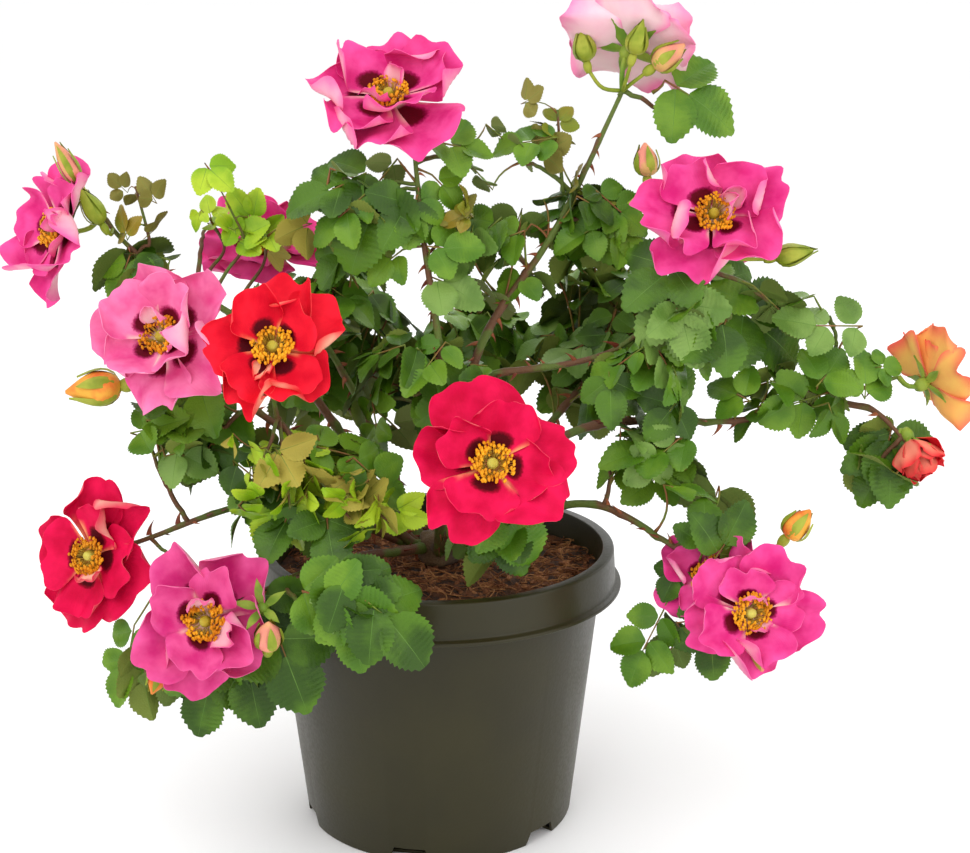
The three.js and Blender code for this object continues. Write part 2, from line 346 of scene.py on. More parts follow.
def read_canes():
    """Each cane's smooth route and its radii. A branch starts inside the cane that bears it."""
    axes = {name: cane_axis(name) for name in nodes_named("cane_")}
    smooth = {name: smooth_route(centres, 2.0) for name, (centres, _) in axes.items()}
    canes = {}
    for name, (centres, radii) in axes.items():
        start = CROWN_CENTRE
        if np.linalg.norm(centres[0] - CROWN_CENTRE) > BRANCH_GAP * CROWN_HALF[2]:
            others = np.vstack([route for other, route in smooth.items() if other != name])
            start = others[np.argmin(np.linalg.norm(others - centres[0], axis=1))]
        route = smooth_route([start, *centres], WOOD_STEP)
        share = np.linspace(0, 1, len(route))
        canes[name] = route, np.interp(share, np.linspace(0, 1, len(radii)), radii)
    return canes


def bloom_pose(name):
    """A bloom's centre, the way it faces and its radius, from its bowl-shaped solid."""
    points = node_points(name)
    centre = points.mean(0)
    spread = points - centre
    axis = np.linalg.svd(spread, full_matrices=False)[2][2]
    heights = spread @ axis
    out = np.linalg.norm(spread - np.outer(heights, axis), axis=1)
    if out[np.argmin(heights)] > out[np.argmax(heights)]:
        axis = -axis
    return centre, axis, float(np.percentile(out, RIM_PERCENTILE))


# ---------------------------------------------------------------------------
# Materials


def linear(hexadecimal):
    """A colour written as rrggbb, as linear red, green, blue and alpha."""
    parts = [int(hexadecimal[i:i + 2], 16) / 255 for i in (0, 2, 4)]
    return (*(part / 12.92 if part <= 0.04045 else ((part + 0.055) / 1.055)**2.4 for part in parts), 1.0)


class Nodes:
    """Short ways to add nodes to a shader or geometry tree."""

    def __init__(self, tree):
        self.tree = tree

    def add(self, kind, inputs=None, **settings):
        """Adds a node. An input is a value or another node's output."""
        node = self.tree.nodes.new(kind)
        for name, value in settings.items():
            setattr(node, name, value)
        for name, value in (inputs or {}).items():
            if isinstance(value, bpy.types.NodeSocket):
                self.tree.links.new(value, node.inputs[name])
            else:
                node.inputs[name].default_value = value
        return node

    def maths(self, operation, *values):
        """A Math node's output."""
        return self.add("ShaderNodeMath", dict(enumerate(values)), operation=operation).outputs[0]

    def ramp(self, value, low, high):
        """A smooth step from 0 at low to 1 at high."""
        inputs = {"Value": value, "From Min": low, "From Max": high}
        return self.add("ShaderNodeMapRange", inputs, interpolation_type="SMOOTHSTEP").outputs[0]

    def mix(self, share, first, second):
        """A colour between two."""
        node = self.add("ShaderNodeMix", {0: share, 6: first, 7: second}, data_type="RGBA")
        return node.outputs[2]

    def group(self, tree, inputs):
        """A node group placed with its own values."""
        node = self.tree.nodes.new("ShaderNodeGroup")
        node.node_tree = tree
        for name, value in inputs.items():
            node.inputs[name].default_value = value
        return node


def mottle_group():
    """Soft patches and fine grain over a surface, which every natural finish here uses."""
    if "surface_mottle" in bpy.data.node_groups:
        return bpy.data.node_groups["surface_mottle"]
    tree = bpy.data.node_groups.new("surface_mottle", "ShaderNodeTree")
    for name, value in (("Patch size mm", 20.0), ("Grain size mm", 2.0), ("Sharpness", 0.3)):
        socket = tree.interface.new_socket(name=name, in_out="INPUT", socket_type="NodeSocketFloat")
        socket.default_value = value
    for name in ("Patches", "Grain"):
        tree.interface.new_socket(name=name, in_out="OUTPUT", socket_type="NodeSocketFloat")
    nodes = Nodes(tree)
    given = nodes.add("NodeGroupInput")
    result = nodes.add("NodeGroupOutput")
    place = nodes.add("ShaderNodeTexCoord").outputs["Object"]
    for size, name, detail in (("Patch size mm", "Patches", 3.0), ("Grain size mm", "Grain", 2.0)):
        scale = nodes.maths("DIVIDE", 1.0 / MM, given.outputs[size])
        cloud = nodes.add("ShaderNodeTexNoise", {"Vector": place, "Scale": scale, "Detail": detail})
        low = nodes.maths("MULTIPLY_ADD", given.outputs["Sharpness"], 0.45, 0.05)
        high = nodes.maths("SUBTRACT", 1.0, low)
        tree.links.new(nodes.ramp(cloud.outputs["Fac"], low, high), result.inputs[name])
    return tree


class Finish:
    """A material on the Principled shader, with the mottle group already in it."""

    def __init__(self, name, patch, grain, sharpness=0.6, **constants):
        self.material = bpy.data.materials.new(name)
        self.material.use_nodes = True
        tree = self.material.node_tree
        tree.nodes.clear()
        self.nodes = Nodes(tree)
        self.shader = self.nodes.add("ShaderNodeBsdfPrincipled")
        output = self.nodes.add("ShaderNodeOutputMaterial")
        tree.links.new(self.shader.outputs[0], output.inputs["Surface"])
        values = {"Patch size mm": patch, "Grain size mm": grain, "Sharpness": sharpness}
        mottle = self.nodes.group(mottle_group(), values)
        self.patches, self.grain = mottle.outputs["Patches"], mottle.outputs["Grain"]
        for socket, value in constants.items():
            self.shader.inputs[socket.replace("_", " ")].default_value = value

    def drive(self, socket, value):
        """Links a value or colour to one of the shader's sockets."""
        self.nodes.tree.links.new(value, self.shader.inputs[socket])

    def relief(self, height, depth, strength=0.6):
        """Bumps of that depth, in millimetres."""
        inputs = {"Height": height, "Distance": depth * MM, "Strength": strength}
        self.drive("Normal", self.nodes.add("ShaderNodeBump", inputs).outputs[0])

    def between(self, first, second, share=None):
        """Base colour that wanders between two."""
        self.drive("Base Color", self.nodes.mix(self.patches if share is None else share, first, second))


def rgba(colour, factor=1.0):
    """A setting's colour with alpha, darker or lighter by a factor."""
    return (*(part * factor for part in colour), 1.0)


def pot_plastic(colour):
    """Satin moulded plastic, slightly dusty and scuffed."""
    finish = Finish("pot_plastic", 45.0, 1.6, 0.5, Specular_IOR_Level=0.3)
    finish.between(rgba(colour, 0.9), rgba(colour, 1.18))
    rough = finish.nodes.maths("MULTIPLY_ADD", finish.grain, 0.08, 0.3)
    finish.drive("Roughness", finish.nodes.maths("MULTIPLY_ADD", finish.patches, 0.1, rough))
    finish.relief(finish.grain, 0.05, 0.35)
    return finish.material


SOIL_COLOURS = {
    "growing_medium": ("35200f", "75431f"),
    "bark_chip": ("74401e", "b97c4c"),
    "coir": ("7a4520", "bb824e"),
}
# Two colours and the roughness of each soft part.
SOFT_PARTS = {
    "thorn_horn": ("6a2c1c", "9c5a38", 0.45),
    "leaf_stalk": ("6d7f2c", "8a5a34", 0.5),
    "leaf_rib": ("4e7628", "628636", 0.5),
    "sepal": ("668a28", "8fa23a", 0.5),
    "style": ("b09a24", "d6cf62", 0.6),
    "bud_green": ("7f9024", "a2a83a", 0.5),
    "bud_peach": ("e28a78", "d6aa66", 0.5),
    "bud_orange": ("e0682c", "e8a83c", 0.5),
    "filament": ("c9a233", "d8b850", 0.5),
    "anther": ("cf8408", "eaa618", 0.6),
}


def soil_matter(name):
    """Moist fibrous growing medium, or the bark and coir that lie on it."""
    finish = Finish(name, 9.0, 1.0, 0.7, Roughness=0.9)
    finish.between(*map(linear, SOIL_COLOURS[name]))
    finish.relief(finish.grain, 0.6, 0.8)
    return finish.material


def cane_bark(name, green, red, depth):
    """Smooth bark, reddened in patches, with fine grain."""
    finish = Finish(name, 16.0, 0.8, 0.85, Specular_IOR_Level=0.25)
    finish.between(rgba(green), rgba(red))
    finish.drive("Roughness", finish.nodes.maths("MULTIPLY_ADD", finish.grain, 0.2, 0.4))
    finish.relief(finish.grain, depth, 0.5)
    return finish.material


def leaf_blade(name, dark, light, under):
    """A leaflet's blade: glossy above, paler and duller beneath."""
    finish = Finish(name, 22.0, 0.9, 0.75, Specular_IOR_Level=0.3)
    nodes = finish.nodes
    above = nodes.mix(finish.patches, linear(dark), linear(light))
    beneath = nodes.add("ShaderNodeNewGeometry").outputs["Backfacing"]
    finish.drive("Base Color", nodes.mix(beneath, above, linear(under)))
    rough = nodes.maths("MULTIPLY_ADD", finish.grain, 0.12, 0.36)
    finish.drive("Roughness", nodes.maths("MULTIPLY_ADD", beneath, 0.25, rough))
    finish.relief(finish.grain, 0.12, 0.4)
    return finish.material


def soft_part(name):
    """Stalks, sepals, midribs, stamens and other soft parts."""
    first, second, roughness = SOFT_PARTS[name]
    finish = Finish(name, 12.0, 0.7, 0.7, Roughness=roughness, Specular_IOR_Level=0.25)
    finish.between(linear(first), linear(second))
    finish.relief(finish.grain, 0.1, 0.4)
    return finish.material


def petal_place(nodes):
    """Across and along a petal, each from 0 to 1, and how far off its middle line."""
    place = nodes.add("ShaderNodeUVMap", uv_map=PETAL_MAP).outputs["UV"]
    split = nodes.add("ShaderNodeSeparateXYZ", {0: place})
    side, along = split.outputs["X"], split.outputs["Y"]
    return side, along, nodes.maths("ABSOLUTE", nodes.maths("SUBTRACT", side, 0.5))


def petal_face(name, body, light, blotch, claw):
    """A petal's upper face: a dark blotch over a pale claw, and streaks of cream at its sides."""
    finish = Finish(name, 14.0, 1.3, 0.4, Roughness=0.6, Specular_IOR_Level=0.08)
    nodes = finish.nodes
    side, along, off = petal_place(nodes)
    body_colour = nodes.mix(finish.patches, linear(body), linear(light))
    # Towards its tip the face turns lighter: partly the petal's own paler edge, partly a painted highlight
    # along the edge.
    edge = nodes.ramp(along, 0.72, 1.05)
    body_colour = nodes.mix(nodes.maths("MULTIPLY", edge, 0.55), body_colour, linear(light))
    reach = nodes.maths("MULTIPLY_ADD", finish.patches, -0.3, along)
    streak = nodes.maths("MULTIPLY", nodes.ramp(off, 0.36, 0.5), nodes.ramp(reach, 0.32, 0.02))
    wide = nodes.maths("MULTIPLY", off, 3.4)
    long = nodes.maths("MULTIPLY", nodes.maths("SUBTRACT", along, 0.27), 5.2)
    far = nodes.maths("SQRT", nodes.maths("ADD", nodes.maths("POWER", wide, 2.0),
                                          nodes.maths("POWER", long, 2.0)))
    ragged = nodes.maths("MULTIPLY_ADD", finish.grain, 0.12, far)
    colour = nodes.mix(nodes.maths("MULTIPLY", streak, 0.8), body_colour, linear(claw))
    halo = nodes.mix(0.5, linear(body), linear(blotch))
    colour = nodes.mix(nodes.ramp(ragged, 1.22, 1.0), colour, halo)
    colour = nodes.mix(nodes.ramp(ragged, 1.08, 0.8), colour, linear(blotch))
    finish.drive("Base Color", nodes.mix(nodes.ramp(along, 0.15, 0.07), colour, linear(claw)))
    veins = nodes.add("ShaderNodeTexWave", {
        "Vector": nodes.add("ShaderNodeCombineXYZ", {"X": side}).outputs[0],
        "Scale": 9.0, "Distortion": 1.5}).outputs["Fac"]
    finish.relief(nodes.maths("ADD", veins, finish.grain), 0.1, 0.25)
    return finish.material


def petal_back(name, body, pale):
    """A petal's reverse: cream at the claw and coloured only towards its edge."""
    finish = Finish(name, 12.0, 1.3, 0.4, Roughness=0.6, Specular_IOR_Level=0.08)
    nodes = finish.nodes
    _, along, off = petal_place(nodes)
    rim = nodes.maths("MAXIMUM", nodes.ramp(along, 0.6, 1.05), nodes.ramp(off, 0.34, 0.52))
    share = nodes.maths("MULTIPLY_ADD", finish.patches, 0.3, nodes.maths("MULTIPLY", rim, 0.8))
    finish.between(linear(pale), linear(body), share)
    finish.relief(finish.grain, 0.1, 0.3)
    return finish.material


# ---------------------------------------------------------------------------
# Stage


# Each light's place, size in metres and share of the power. They all look at the aim.
LIGHTS = {
    "key_light": ((-0.7, -1.0, 1.35), 1.5, 1.0),
    "fill_light": ((1.1, -0.9, 0.7), 1.3, 0.5),
    "back_light": ((0.3, 1.2, 1.2), 1.2, 0.6),
}
LIGHT_AIM = Vector((0.0, 0.0, 0.2))
SKY_STRENGTH = 1.06
FLOOR_RADIUS = 80.0  # in metres
FLOOR_SIDES = 96
SENSOR_WIDTH = 36.0  # of the camera, in millimetres


class ROSE_OT_stage(bpy.types.Operator):
    """Adds the camera, the floor and the soft studio light"""

    bl_idname = "rose.stage"
    bl_label = "Stage"

    def execute(self, context):
        settings = context.scene.rose_stage
        camera = bpy.data.cameras.new("camera")
        camera.lens = settings.focal_length
        camera.sensor_width = SENSOR_WIDTH
        holder = bpy.data.objects.new("camera", camera)
        holder.location = settings.camera_place
        holder.rotation_euler = (math.pi / 2 - settings.camera_pitch, 0.0, 0.0)
        context.scene.collection.objects.link(holder)
        context.scene.camera = holder
        context.scene.view_settings.view_transform = "Standard"
        self.add_floor(settings)
        for name, (place, size, share) in LIGHTS.items():
            self.add_light(name, place, size, settings.light_power * share)
        world = bpy.data.worlds.new("studio")
        world.use_nodes = True
        sky = world.node_tree.nodes["Background"]
        sky.inputs["Color"].default_value = (1.0, 1.0, 1.0, 1.0)
        sky.inputs["Strength"].default_value = SKY_STRENGTH
        context.scene.world = world
        return {"FINISHED"}

    def add_floor(self, settings):
        """A wide pale disc."""
        turns = [2 * math.pi * i / FLOOR_SIDES for i in range(FLOOR_SIDES)]
        mesh = bpy.data.meshes.new("studio_floor")
        rim = [(FLOOR_RADIUS * math.cos(turn), FLOOR_RADIUS * math.sin(turn), 0.0) for turn in turns]
        mesh.from_pydata(rim, [], [range(FLOOR_SIDES)])
        paper = bpy.data.materials.new("studio_paper")
        paper.use_nodes = True
        shader = paper.node_tree.nodes["Principled BSDF"]
        shader.inputs["Base Color"].default_value = (*settings.floor_colour, 1.0)
        shader.inputs["Roughness"].default_value = 0.9
        mesh.materials.append(paper)
        add_object("studio_floor", mesh)

    def add_light(self, name, place, size, power):
        """A square soft light that looks at the plant."""
        light = bpy.data.lights.new(name, "AREA")
        light.energy = power
        light.size = size
        holder = bpy.data.objects.new(name, light)
        holder.location = place
        holder.rotation_euler = (LIGHT_AIM - Vector(place)).to_track_quat("-Z", "Y").to_euler()
        bpy.context.scene.collection.objects.link(holder)


# ---------------------------------------------------------------------------
# Pot


NOTCHES = 6
FIRST_NOTCH = math.radians(-41)  # azimuth of the first one
NOTCH_SLOPE = 3.0  # how far each side of a notch leans in
NOTCH_REACH = 8.0  # how far the cutter reaches to each side of the wall's foot
BEAD_HEIGHT = 0.96  # the fillet over the lip


def pot_profile(wall):
    """Radius and height round the pot's wall, read off its solid, with softened corners."""
    points = node_points("pot")
    height = points[:, 2].max()
    out = np.hypot(points[:, 0], points[:, 1])
    foot = out[points[:, 2] < 0.01].max()
    lip = out.max()
    lip_low = points[out > lip - 0.2, 2].min()
    lip_high = points[out > lip - 0.2, 2].max()
    top = points[:, 2] > height - 0.01
    skirt_top, mouth = out[top].max(), out[top].min()
    inner = (points[:, 2] > 0.5) & (points[:, 2] < 4.0) & (out > 1.0)
    floor = float(np.median(points[inner, 2]))
    flare = (mouth + wall - foot) / height
    under_rim = height - floor
    skirt = out[(points[:, 2] > lip_high + 0.2) & (points[:, 2] < height - 1)].max()
    corners = [
        (0.0, 0.0, 0.0), (foot, 0.0, 0.8), (foot + flare * under_rim, under_rim, 0.3),
        (skirt_top - wall, under_rim, 0.3), (skirt - wall, lip_low, 0.2), (lip, lip_low, 0.5),
        (lip, lip_high, 0.6), (skirt, lip_high + BEAD_HEIGHT, 0.8), (skirt_top, height, 1.2),
        (mouth, height, 0.6), (foot + flare * floor - wall, floor, 0.6), (0.0, floor, 0.0),
    ]
    return rounded(corners)


def rounded(corners, steps=3):
    """An outline with each corner replaced by a short arc of its own radius."""
    outline = []
    for index, (x, y, radius) in enumerate(corners):
        here = np.array([x, y])
        if radius == 0.0:
            outline.append(here)
            continue
        before = unit(np.array(corners[index - 1][:2]) - here)
        after = unit(np.array(corners[index + 1][:2]) - here)
        for share in np.linspace(0, 1, steps + 1):
            outline.append(here + radius * (before * (1 - share)**2 + after * share**2))
    return np.array(outline)


def lathe(outline, segments):
    """Points and faces of an outline turned about the upright axis, from axis to axis."""
    turns = np.linspace(0, 2 * np.pi, segments, endpoint=False)
    inner = outline[1:-1]
    rings = [np.stack([r * np.cos(turns), r * np.sin(turns), np.full(segments, z)], 1) for r, z in inner]
    points = np.vstack([*rings, [[0, 0, outline[0][1]], [0, 0, outline[-1][1]]]])
    ring = np.arange(segments)
    after = np.roll(ring, -1)
    walls = [np.stack([ring, after, after + segments, ring + segments], 1) + segments * i
             for i in range(len(inner) - 1)]
    last = segments * (len(inner) - 1)
    low, high = len(points) - 2, len(points) - 1
    foot = np.stack([np.full(segments, low), after, ring], 1)
    top = np.stack([np.full(segments, high), ring + last, after + last], 1)
    return points, [np.vstack(walls), foot, top]


class ROSE_OT_pot(bpy.types.Operator):
    """Moulds the nursery pot with its rolled rim and drainage notches"""

    bl_idname = "rose.pot"
    bl_label = "Pot"

    def execute(self, context):
        settings = context.scene.rose_pot
        heap = Heap()
        heap.add(*lathe(pot_profile(settings.wall), settings.segments))
        pot = add_object("pot_shell", heap.mesh("pot_shell", [pot_plastic(settings.colour)]))
        uncut = len(pot.data.polygons)
        cutter = add_object("notch_cutter", self.notches(settings))
        cut = pot.modifiers.new("notches", "BOOLEAN")
        cut.operation = "DIFFERENCE"
        cut.object = cutter
        cut.solver = "EXACT"
        applied(pot)
        bpy.data.objects.remove(cutter)
        if len(pot.data.polygons) == uncut:
            raise RuntimeError("the drainage notches could not be cut from the pot")
        pot.data.set_sharp_from_angle(angle=math.radians(40))
        declare(pot, "pot_plastic", "pot")
        return {"FINISHED"}

    def notches(self, settings):
        """Six trapezium prisms standing where the wall meets the floor."""
        points = node_points("pot")
        foot = np.hypot(*points[points[:, 2] < 0.01, :2].T).max()
        half, height = settings.notch_width / 2, settings.notch_height
        outline = [(-half, -1.0), (half, -1.0), (half - NOTCH_SLOPE, height), (-half + NOTCH_SLOPE, height)]
        heap = Heap()
        for index in range(NOTCHES):
            turn = FIRST_NOTCH + index * 2 * math.pi / NOTCHES
            out = np.array([math.cos(turn), math.sin(turn), 0.0])
            side = np.array([-math.sin(turn), math.cos(turn), 0.0])
            ends = [[out * far + side * x + UP * z for x, z in outline]
                    for far in (foot - NOTCH_REACH, foot + NOTCH_REACH)]
            walls = np.array([[i, (i + 1) % 4, (i + 1) % 4 + 4, i + 4] for i in range(4)])
            heap.add(np.vstack(ends), [walls, np.array([[3, 2, 1, 0]]), np.array([[4, 5, 6, 7]])])
        return heap.mesh("notch_cutter", [])


# ---------------------------------------------------------------------------
# Soil


def scatter_tree(name, inputs):
    """An empty geometry tree with a geometry in and out and named number inputs."""
    tree = bpy.data.node_groups.new(name, "GeometryNodeTree")
    tree.is_modifier = True
    tree.interface.new_socket(name="Geometry", in_out="INPUT", socket_type="NodeSocketGeometry")
    tree.interface.new_socket(name="Geometry", in_out="OUTPUT", socket_type="NodeSocketGeometry")
    for label, (kind, value) in inputs.items():
        socket = tree.interface.new_socket(name=label, in_out="INPUT", socket_type=kind)
        socket.default_value = value
    return tree


def run_tree(made, tree, values):
    """Runs a geometry tree on an object and keeps the plain mesh that it makes."""
    modifier = made.modifiers.new(tree.name, "NODES")
    modifier.node_group = tree
    sockets = {item.name: item.identifier for item in tree.interface.items_tree
               if item.item_type == "SOCKET" and item.in_out == "INPUT"}
    for label, value in values.items():
        modifier[sockets[label]] = value
    return applied(made)


NUMBER, WHOLE = "NodeSocketFloat", "NodeSocketInt"
COUNT = "Count per square metre"


def scattered(nodes, given):
    """Points strewn at random on the faces that come in."""
    return nodes.add("GeometryNodeDistributePointsOnFaces", {
        "Mesh": given.outputs["Geometry"], "Density": given.outputs[COUNT],
        "Seed": given.outputs["Seed"]}).outputs["Points"]


def random_vector(nodes, given, low, high):
    """A random vector for each instance."""
    return nodes.add("FunctionNodeRandomValue", {0: low, 1: high, "Seed": given.outputs["Seed"]},
                     data_type="FLOAT_VECTOR").outputs[0]


def random_number(nodes, given, low, high):
    """A random number for each instance."""
    inputs = {2: low, 3: high, "Seed": given.outputs["Seed"]}
    return nodes.add("FunctionNodeRandomValue", inputs).outputs[1]


def instanced(nodes, points, instance, rotation, scale):
    """A copy of the instance on each point."""
    return nodes.add("GeometryNodeInstanceOnPoints", {
        "Points": points, "Instance": instance, "Rotation": rotation, "Scale": scale}).outputs[0]


def named_vector(nodes, name):
    """The points' own direction of that name."""
    return nodes.add("GeometryNodeInputNamedAttribute", {"Name": name},
                     data_type="FLOAT_VECTOR").outputs[0]


def chip_tree(material):
    """Squashed chips lying at random on a surface."""
    tree = scatter_tree("bark_chips", {COUNT: (NUMBER, 1000.0), "Chip length": (NUMBER, 0.005),
                                       "Seed": (WHOLE, 1)})
    nodes = Nodes(tree)
    given = nodes.add("NodeGroupInput")
    points = scattered(nodes, given)
    chip = nodes.add("GeometryNodeMeshIcoSphere", {"Radius": 0.5, "Subdivisions": 1})
    turn = random_vector(nodes, given, (-0.5, -0.5, 0.0), (0.5, 0.5, 6.28))
    size = random_vector(nodes, given, (0.4, 0.2, 0.1), (1.3, 0.6, 0.35))
    scaled = nodes.add("ShaderNodeVectorMath", {0: size, "Scale": given.outputs["Chip length"]},
                       operation="SCALE")
    laid = instanced(nodes, points, chip.outputs["Mesh"], turn, scaled.outputs[0])
    return finish_tree(nodes, laid, material)


def finish_tree(nodes, instances, material):
    """Realizes the instances and gives them their material."""
    real = nodes.add("GeometryNodeRealizeInstances", {0: instances})
    coloured = nodes.add("GeometryNodeSetMaterial", {"Geometry": real.outputs[0], "Material": material})
    result = nodes.add("NodeGroupOutput")
    nodes.tree.links.new(coloured.outputs[0], result.inputs[0])
    return nodes.tree


def fibre_tree(material):
    """Bowed strands lying at random on a surface."""
    tree = scatter_tree("coir_fibres", {COUNT: (NUMBER, 1000.0), "Strand radius": (NUMBER, 0.00025),
                                        "Seed": (WHOLE, 2)})
    nodes = Nodes(tree)
    given = nodes.add("NodeGroupInput")
    points = scattered(nodes, given)
    bow = nodes.add("GeometryNodeCurveQuadraticBezier", {
        "Resolution": 6, "Start": (-0.5, 0.0, 0.0), "Middle": (0.1, 0.5, 0.25), "End": (0.5, 0.0, 0.05)})
    strand_radius = nodes.maths("MULTIPLY", given.outputs["Strand radius"], 90.0)
    section = nodes.add("GeometryNodeCurvePrimitiveCircle", {"Resolution": 4, "Radius": strand_radius})
    strand = nodes.add("GeometryNodeCurveToMesh", {
        "Curve": bow.outputs[0], "Profile Curve": section.outputs[0], "Fill Caps": True})
    turn = random_vector(nodes, given, (-0.35, -0.35, 0.0), (0.35, 0.35, 6.28))
    length = random_number(nodes, given, 0.006, 0.017)
    return finish_tree(nodes, instanced(nodes, points, strand.outputs[0], turn, length), material)


SOIL_RINGS = 26
SOIL_SEGMENTS = 96
LOOSE_RADIUS = 0.080  # chips and fibres lie inside this radius, in metres
LOOSE_DEPTH = 6.0  # and no deeper than this below the crest
CHIP_LENGTH = 7.5


class ROSE_OT_soil(bpy.types.Operator):
    """Fills the pot with growing medium and strews bark chips and fibres on it"""

    bl_idname = "rose.soil"
    bl_label = "Soil"

    def execute(self, context):
        settings = context.scene.rose_pot
        points = node_points("soil")
        out = np.hypot(points[:, 0], points[:, 1])
        crest = points[:, 2].max()
        low = points[:, 2].min() + settings.notch_height  # the notches look into the shade under it
        foot = out[points[:, 2] < low].max()
        edge = out.max()
        edge_height = points[out > edge - 0.5, 2].max()
        outline = [(0.0, low), (foot, low), (edge, edge_height)]
        for ring in range(1, SOIL_RINGS):
            inward = ring / SOIL_RINGS
            rise = (crest - edge_height) * min(1.0, 1.6 * inward)
            outline.append((edge * (1 - inward), edge_height + rise))
        outline.append((0.0, crest))
        heap = Heap()
        mound, faces = lathe(np.array(outline), SOIL_SEGMENTS)
        loose = (mound[:, 2] > edge_height - 0.5) & (np.hypot(mound[:, 0], mound[:, 1]) < edge - 0.5)
        for index in np.where(loose)[0]:
            coarse = noise.noise(Vector(mound[index] * 0.06))
            fine = noise.noise(Vector(mound[index] * 0.3))
            mound[index, 2] += 2.2 * coarse + 1.3 * fine - 0.6
        heap.add(mound, faces)
        bed = add_piece("growing_medium", heap, [soil_matter("growing_medium")], "growing_medium", "soil")
        self.strew(bed, settings, crest)
        return {"FINISHED"}

    def strew(self, bed, settings, crest):
        """Chips and fibres on the part of the bed that faces up."""
        corners = corners_of(bed.data)
        high = corners[:, 2] > (crest - LOOSE_DEPTH) * MM
        top = np.where(high & (np.hypot(*corners[:, :2].T) < LOOSE_RADIUS))[0]
        kept = set(top.tolist())
        faces = [tuple(p.vertices) for p in bed.data.polygons if kept.issuperset(p.vertices)]
        surface = bpy.data.meshes.new("soil_surface")
        surface.from_pydata(corners.tolist(), [], faces)
        area = math.pi * LOOSE_RADIUS**2
        chips = chip_tree(soil_matter("bark_chip"))
        fibres = fibre_tree(soil_matter("coir"))
        for tree, values in (
                (chips, {COUNT: settings.chips / area, "Chip length": CHIP_LENGTH * MM, "Seed": SEED}),
                (fibres, {COUNT: settings.fibres / area, "Seed": SEED + 1})):
            made = add_object(tree.name, surface.copy())
            run_tree(made, tree, values)
            declare(made, "growing_medium")
        bpy.data.meshes.remove(surface)


# ---------------------------------------------------------------------------
# Canes


FIRST_JOINT = 12.0  # from a cane's foot to its first leaf joint
JOINT_SHIFT = 3.0  # how far a joint may sit from its even place
JOINT_LENGTH = 2.6  # half length of the swelling at a joint
SWELLING = (0.12, 0.26)  # how much thicker a joint is, as a share
SWAY = 0.35  # how far a cane bends aside at a joint
TIP_TAPER = 0.3  # share of its radius that a cane loses by its tip, over what its solid loses


def bark_relief(route, radii, settings, rng):
    """A cane's radii and route with swollen leaf joints and a slight bend at each."""
    step = np.linalg.norm(route[1] - route[0])
    along = np.arange(len(route)) * step
    joints = np.arange(FIRST_JOINT, along[-1], settings.joint_gap)
    swelling = np.ones(len(route))
    sway = np.zeros((len(route), 3))
    for joint in joints + rng.uniform(-JOINT_SHIFT, JOINT_SHIFT, len(joints)):
        near = np.exp(-((along - joint) / JOINT_LENGTH)**2)
        swelling += near * rng.uniform(*SWELLING)
        sway += near[:, None] * rng.normal(0, SWAY, 3)
    taper = 1.0 - TIP_TAPER * np.linspace(0, 1, len(route))**1.5
    return route + sway, radii * swelling * taper


class ROSE_OT_canes(bpy.types.Operator):
    """Grows the bud union and the canes, with the relief of their bark"""

    bl_idname = "rose.canes"
    bl_label = "Canes"

    def execute(self, context):
        settings = context.scene.rose_cane
        rng = np.random.default_rng(SEED + 2)
        bark = cane_bark("green_bark", settings.green, settings.red, 0.25)
        for name, (route, radii) in read_canes().items():
            route, radii = bark_relief(route, radii, settings, rng)
            heap = Heap()
            heap.add(*tube(route, radii, settings.sides))
            add_piece(name + "_bark", heap, [bark], "green_bark", name)
        self.bud_union()
        return {"FINISHED"}

    def bud_union(self):
        """The knobbly union that the canes grow from."""
        old = cane_bark("old_bark", (0.16, 0.1, 0.05), (0.09, 0.06, 0.04), 0.8)
        heights = np.linspace(-1, 1, 15)
        radii = CROWN_HALF[0] * np.sqrt(np.clip(1 - (heights * 0.93)**4, 0, 1)) * (1.02 - 0.12 * heights)
        route = CROWN_CENTRE + np.outer(heights * CROWN_HALF[2] * 1.05, UP)
        points, faces = tube(route, radii, 24)
        for index, point in enumerate(points):
            knobs = 0.16 * noise.noise(Vector(point * 0.16))
            cracks = 0.06 * noise.noise(Vector(point * 0.6))
            points[index] = CROWN_CENTRE + (point - CROWN_CENTRE) * (1 + knobs + cracks)
        heap = Heap()
        heap.add(points, faces)
        add_piece("bud_union", heap, [old], "old_bark", "crown_stem")


def thorn_tree(material):
    """Hooked thorns that stand out of their points along an attribute's direction."""
    tree = scatter_tree("thorns", {"Thorn length": (NUMBER, 0.005), "Seed": (WHOLE, 3)})
    nodes = Nodes(tree)
    given = nodes.add("NodeGroupInput")
    spike = nodes.add("GeometryNodeMeshCone", {
        "Vertices": 7, "Side Segments": 4, "Radius Top": 0.01, "Radius Bottom": 0.22, "Depth": 1.0})
    place = nodes.add("GeometryNodeInputPosition").outputs[0]
    split = nodes.add("ShaderNodeSeparateXYZ", {0: place})
    hook = nodes.maths("MULTIPLY", nodes.maths("POWER", split.outputs["Z"], 2.0), -0.42)
    flat = nodes.maths("MULTIPLY", split.outputs["Y"], 0.55)
    bent = nodes.add("ShaderNodeCombineXYZ", {
        "X": nodes.maths("ADD", split.outputs["X"], hook), "Y": flat, "Z": split.outputs["Z"]})
    hooked = nodes.add("GeometryNodeSetPosition", {
        "Geometry": spike.outputs["Mesh"], "Position": bent.outputs[0]})
    turn = nodes.add("FunctionNodeAxesToRotation", {
        "Primary Axis": named_vector(nodes, "out"), "Secondary Axis": named_vector(nodes, "down")},
        primary_axis="Z", secondary_axis="X").outputs[0]
    size = random_number(nodes, given, 0.45, 1.15)
    scale = nodes.maths("MULTIPLY", size, given.outputs["Thorn length"])
    grown = instanced(nodes, given.outputs["Geometry"], hooked.outputs[0], turn, scale)
    return finish_tree(nodes, grown, material)


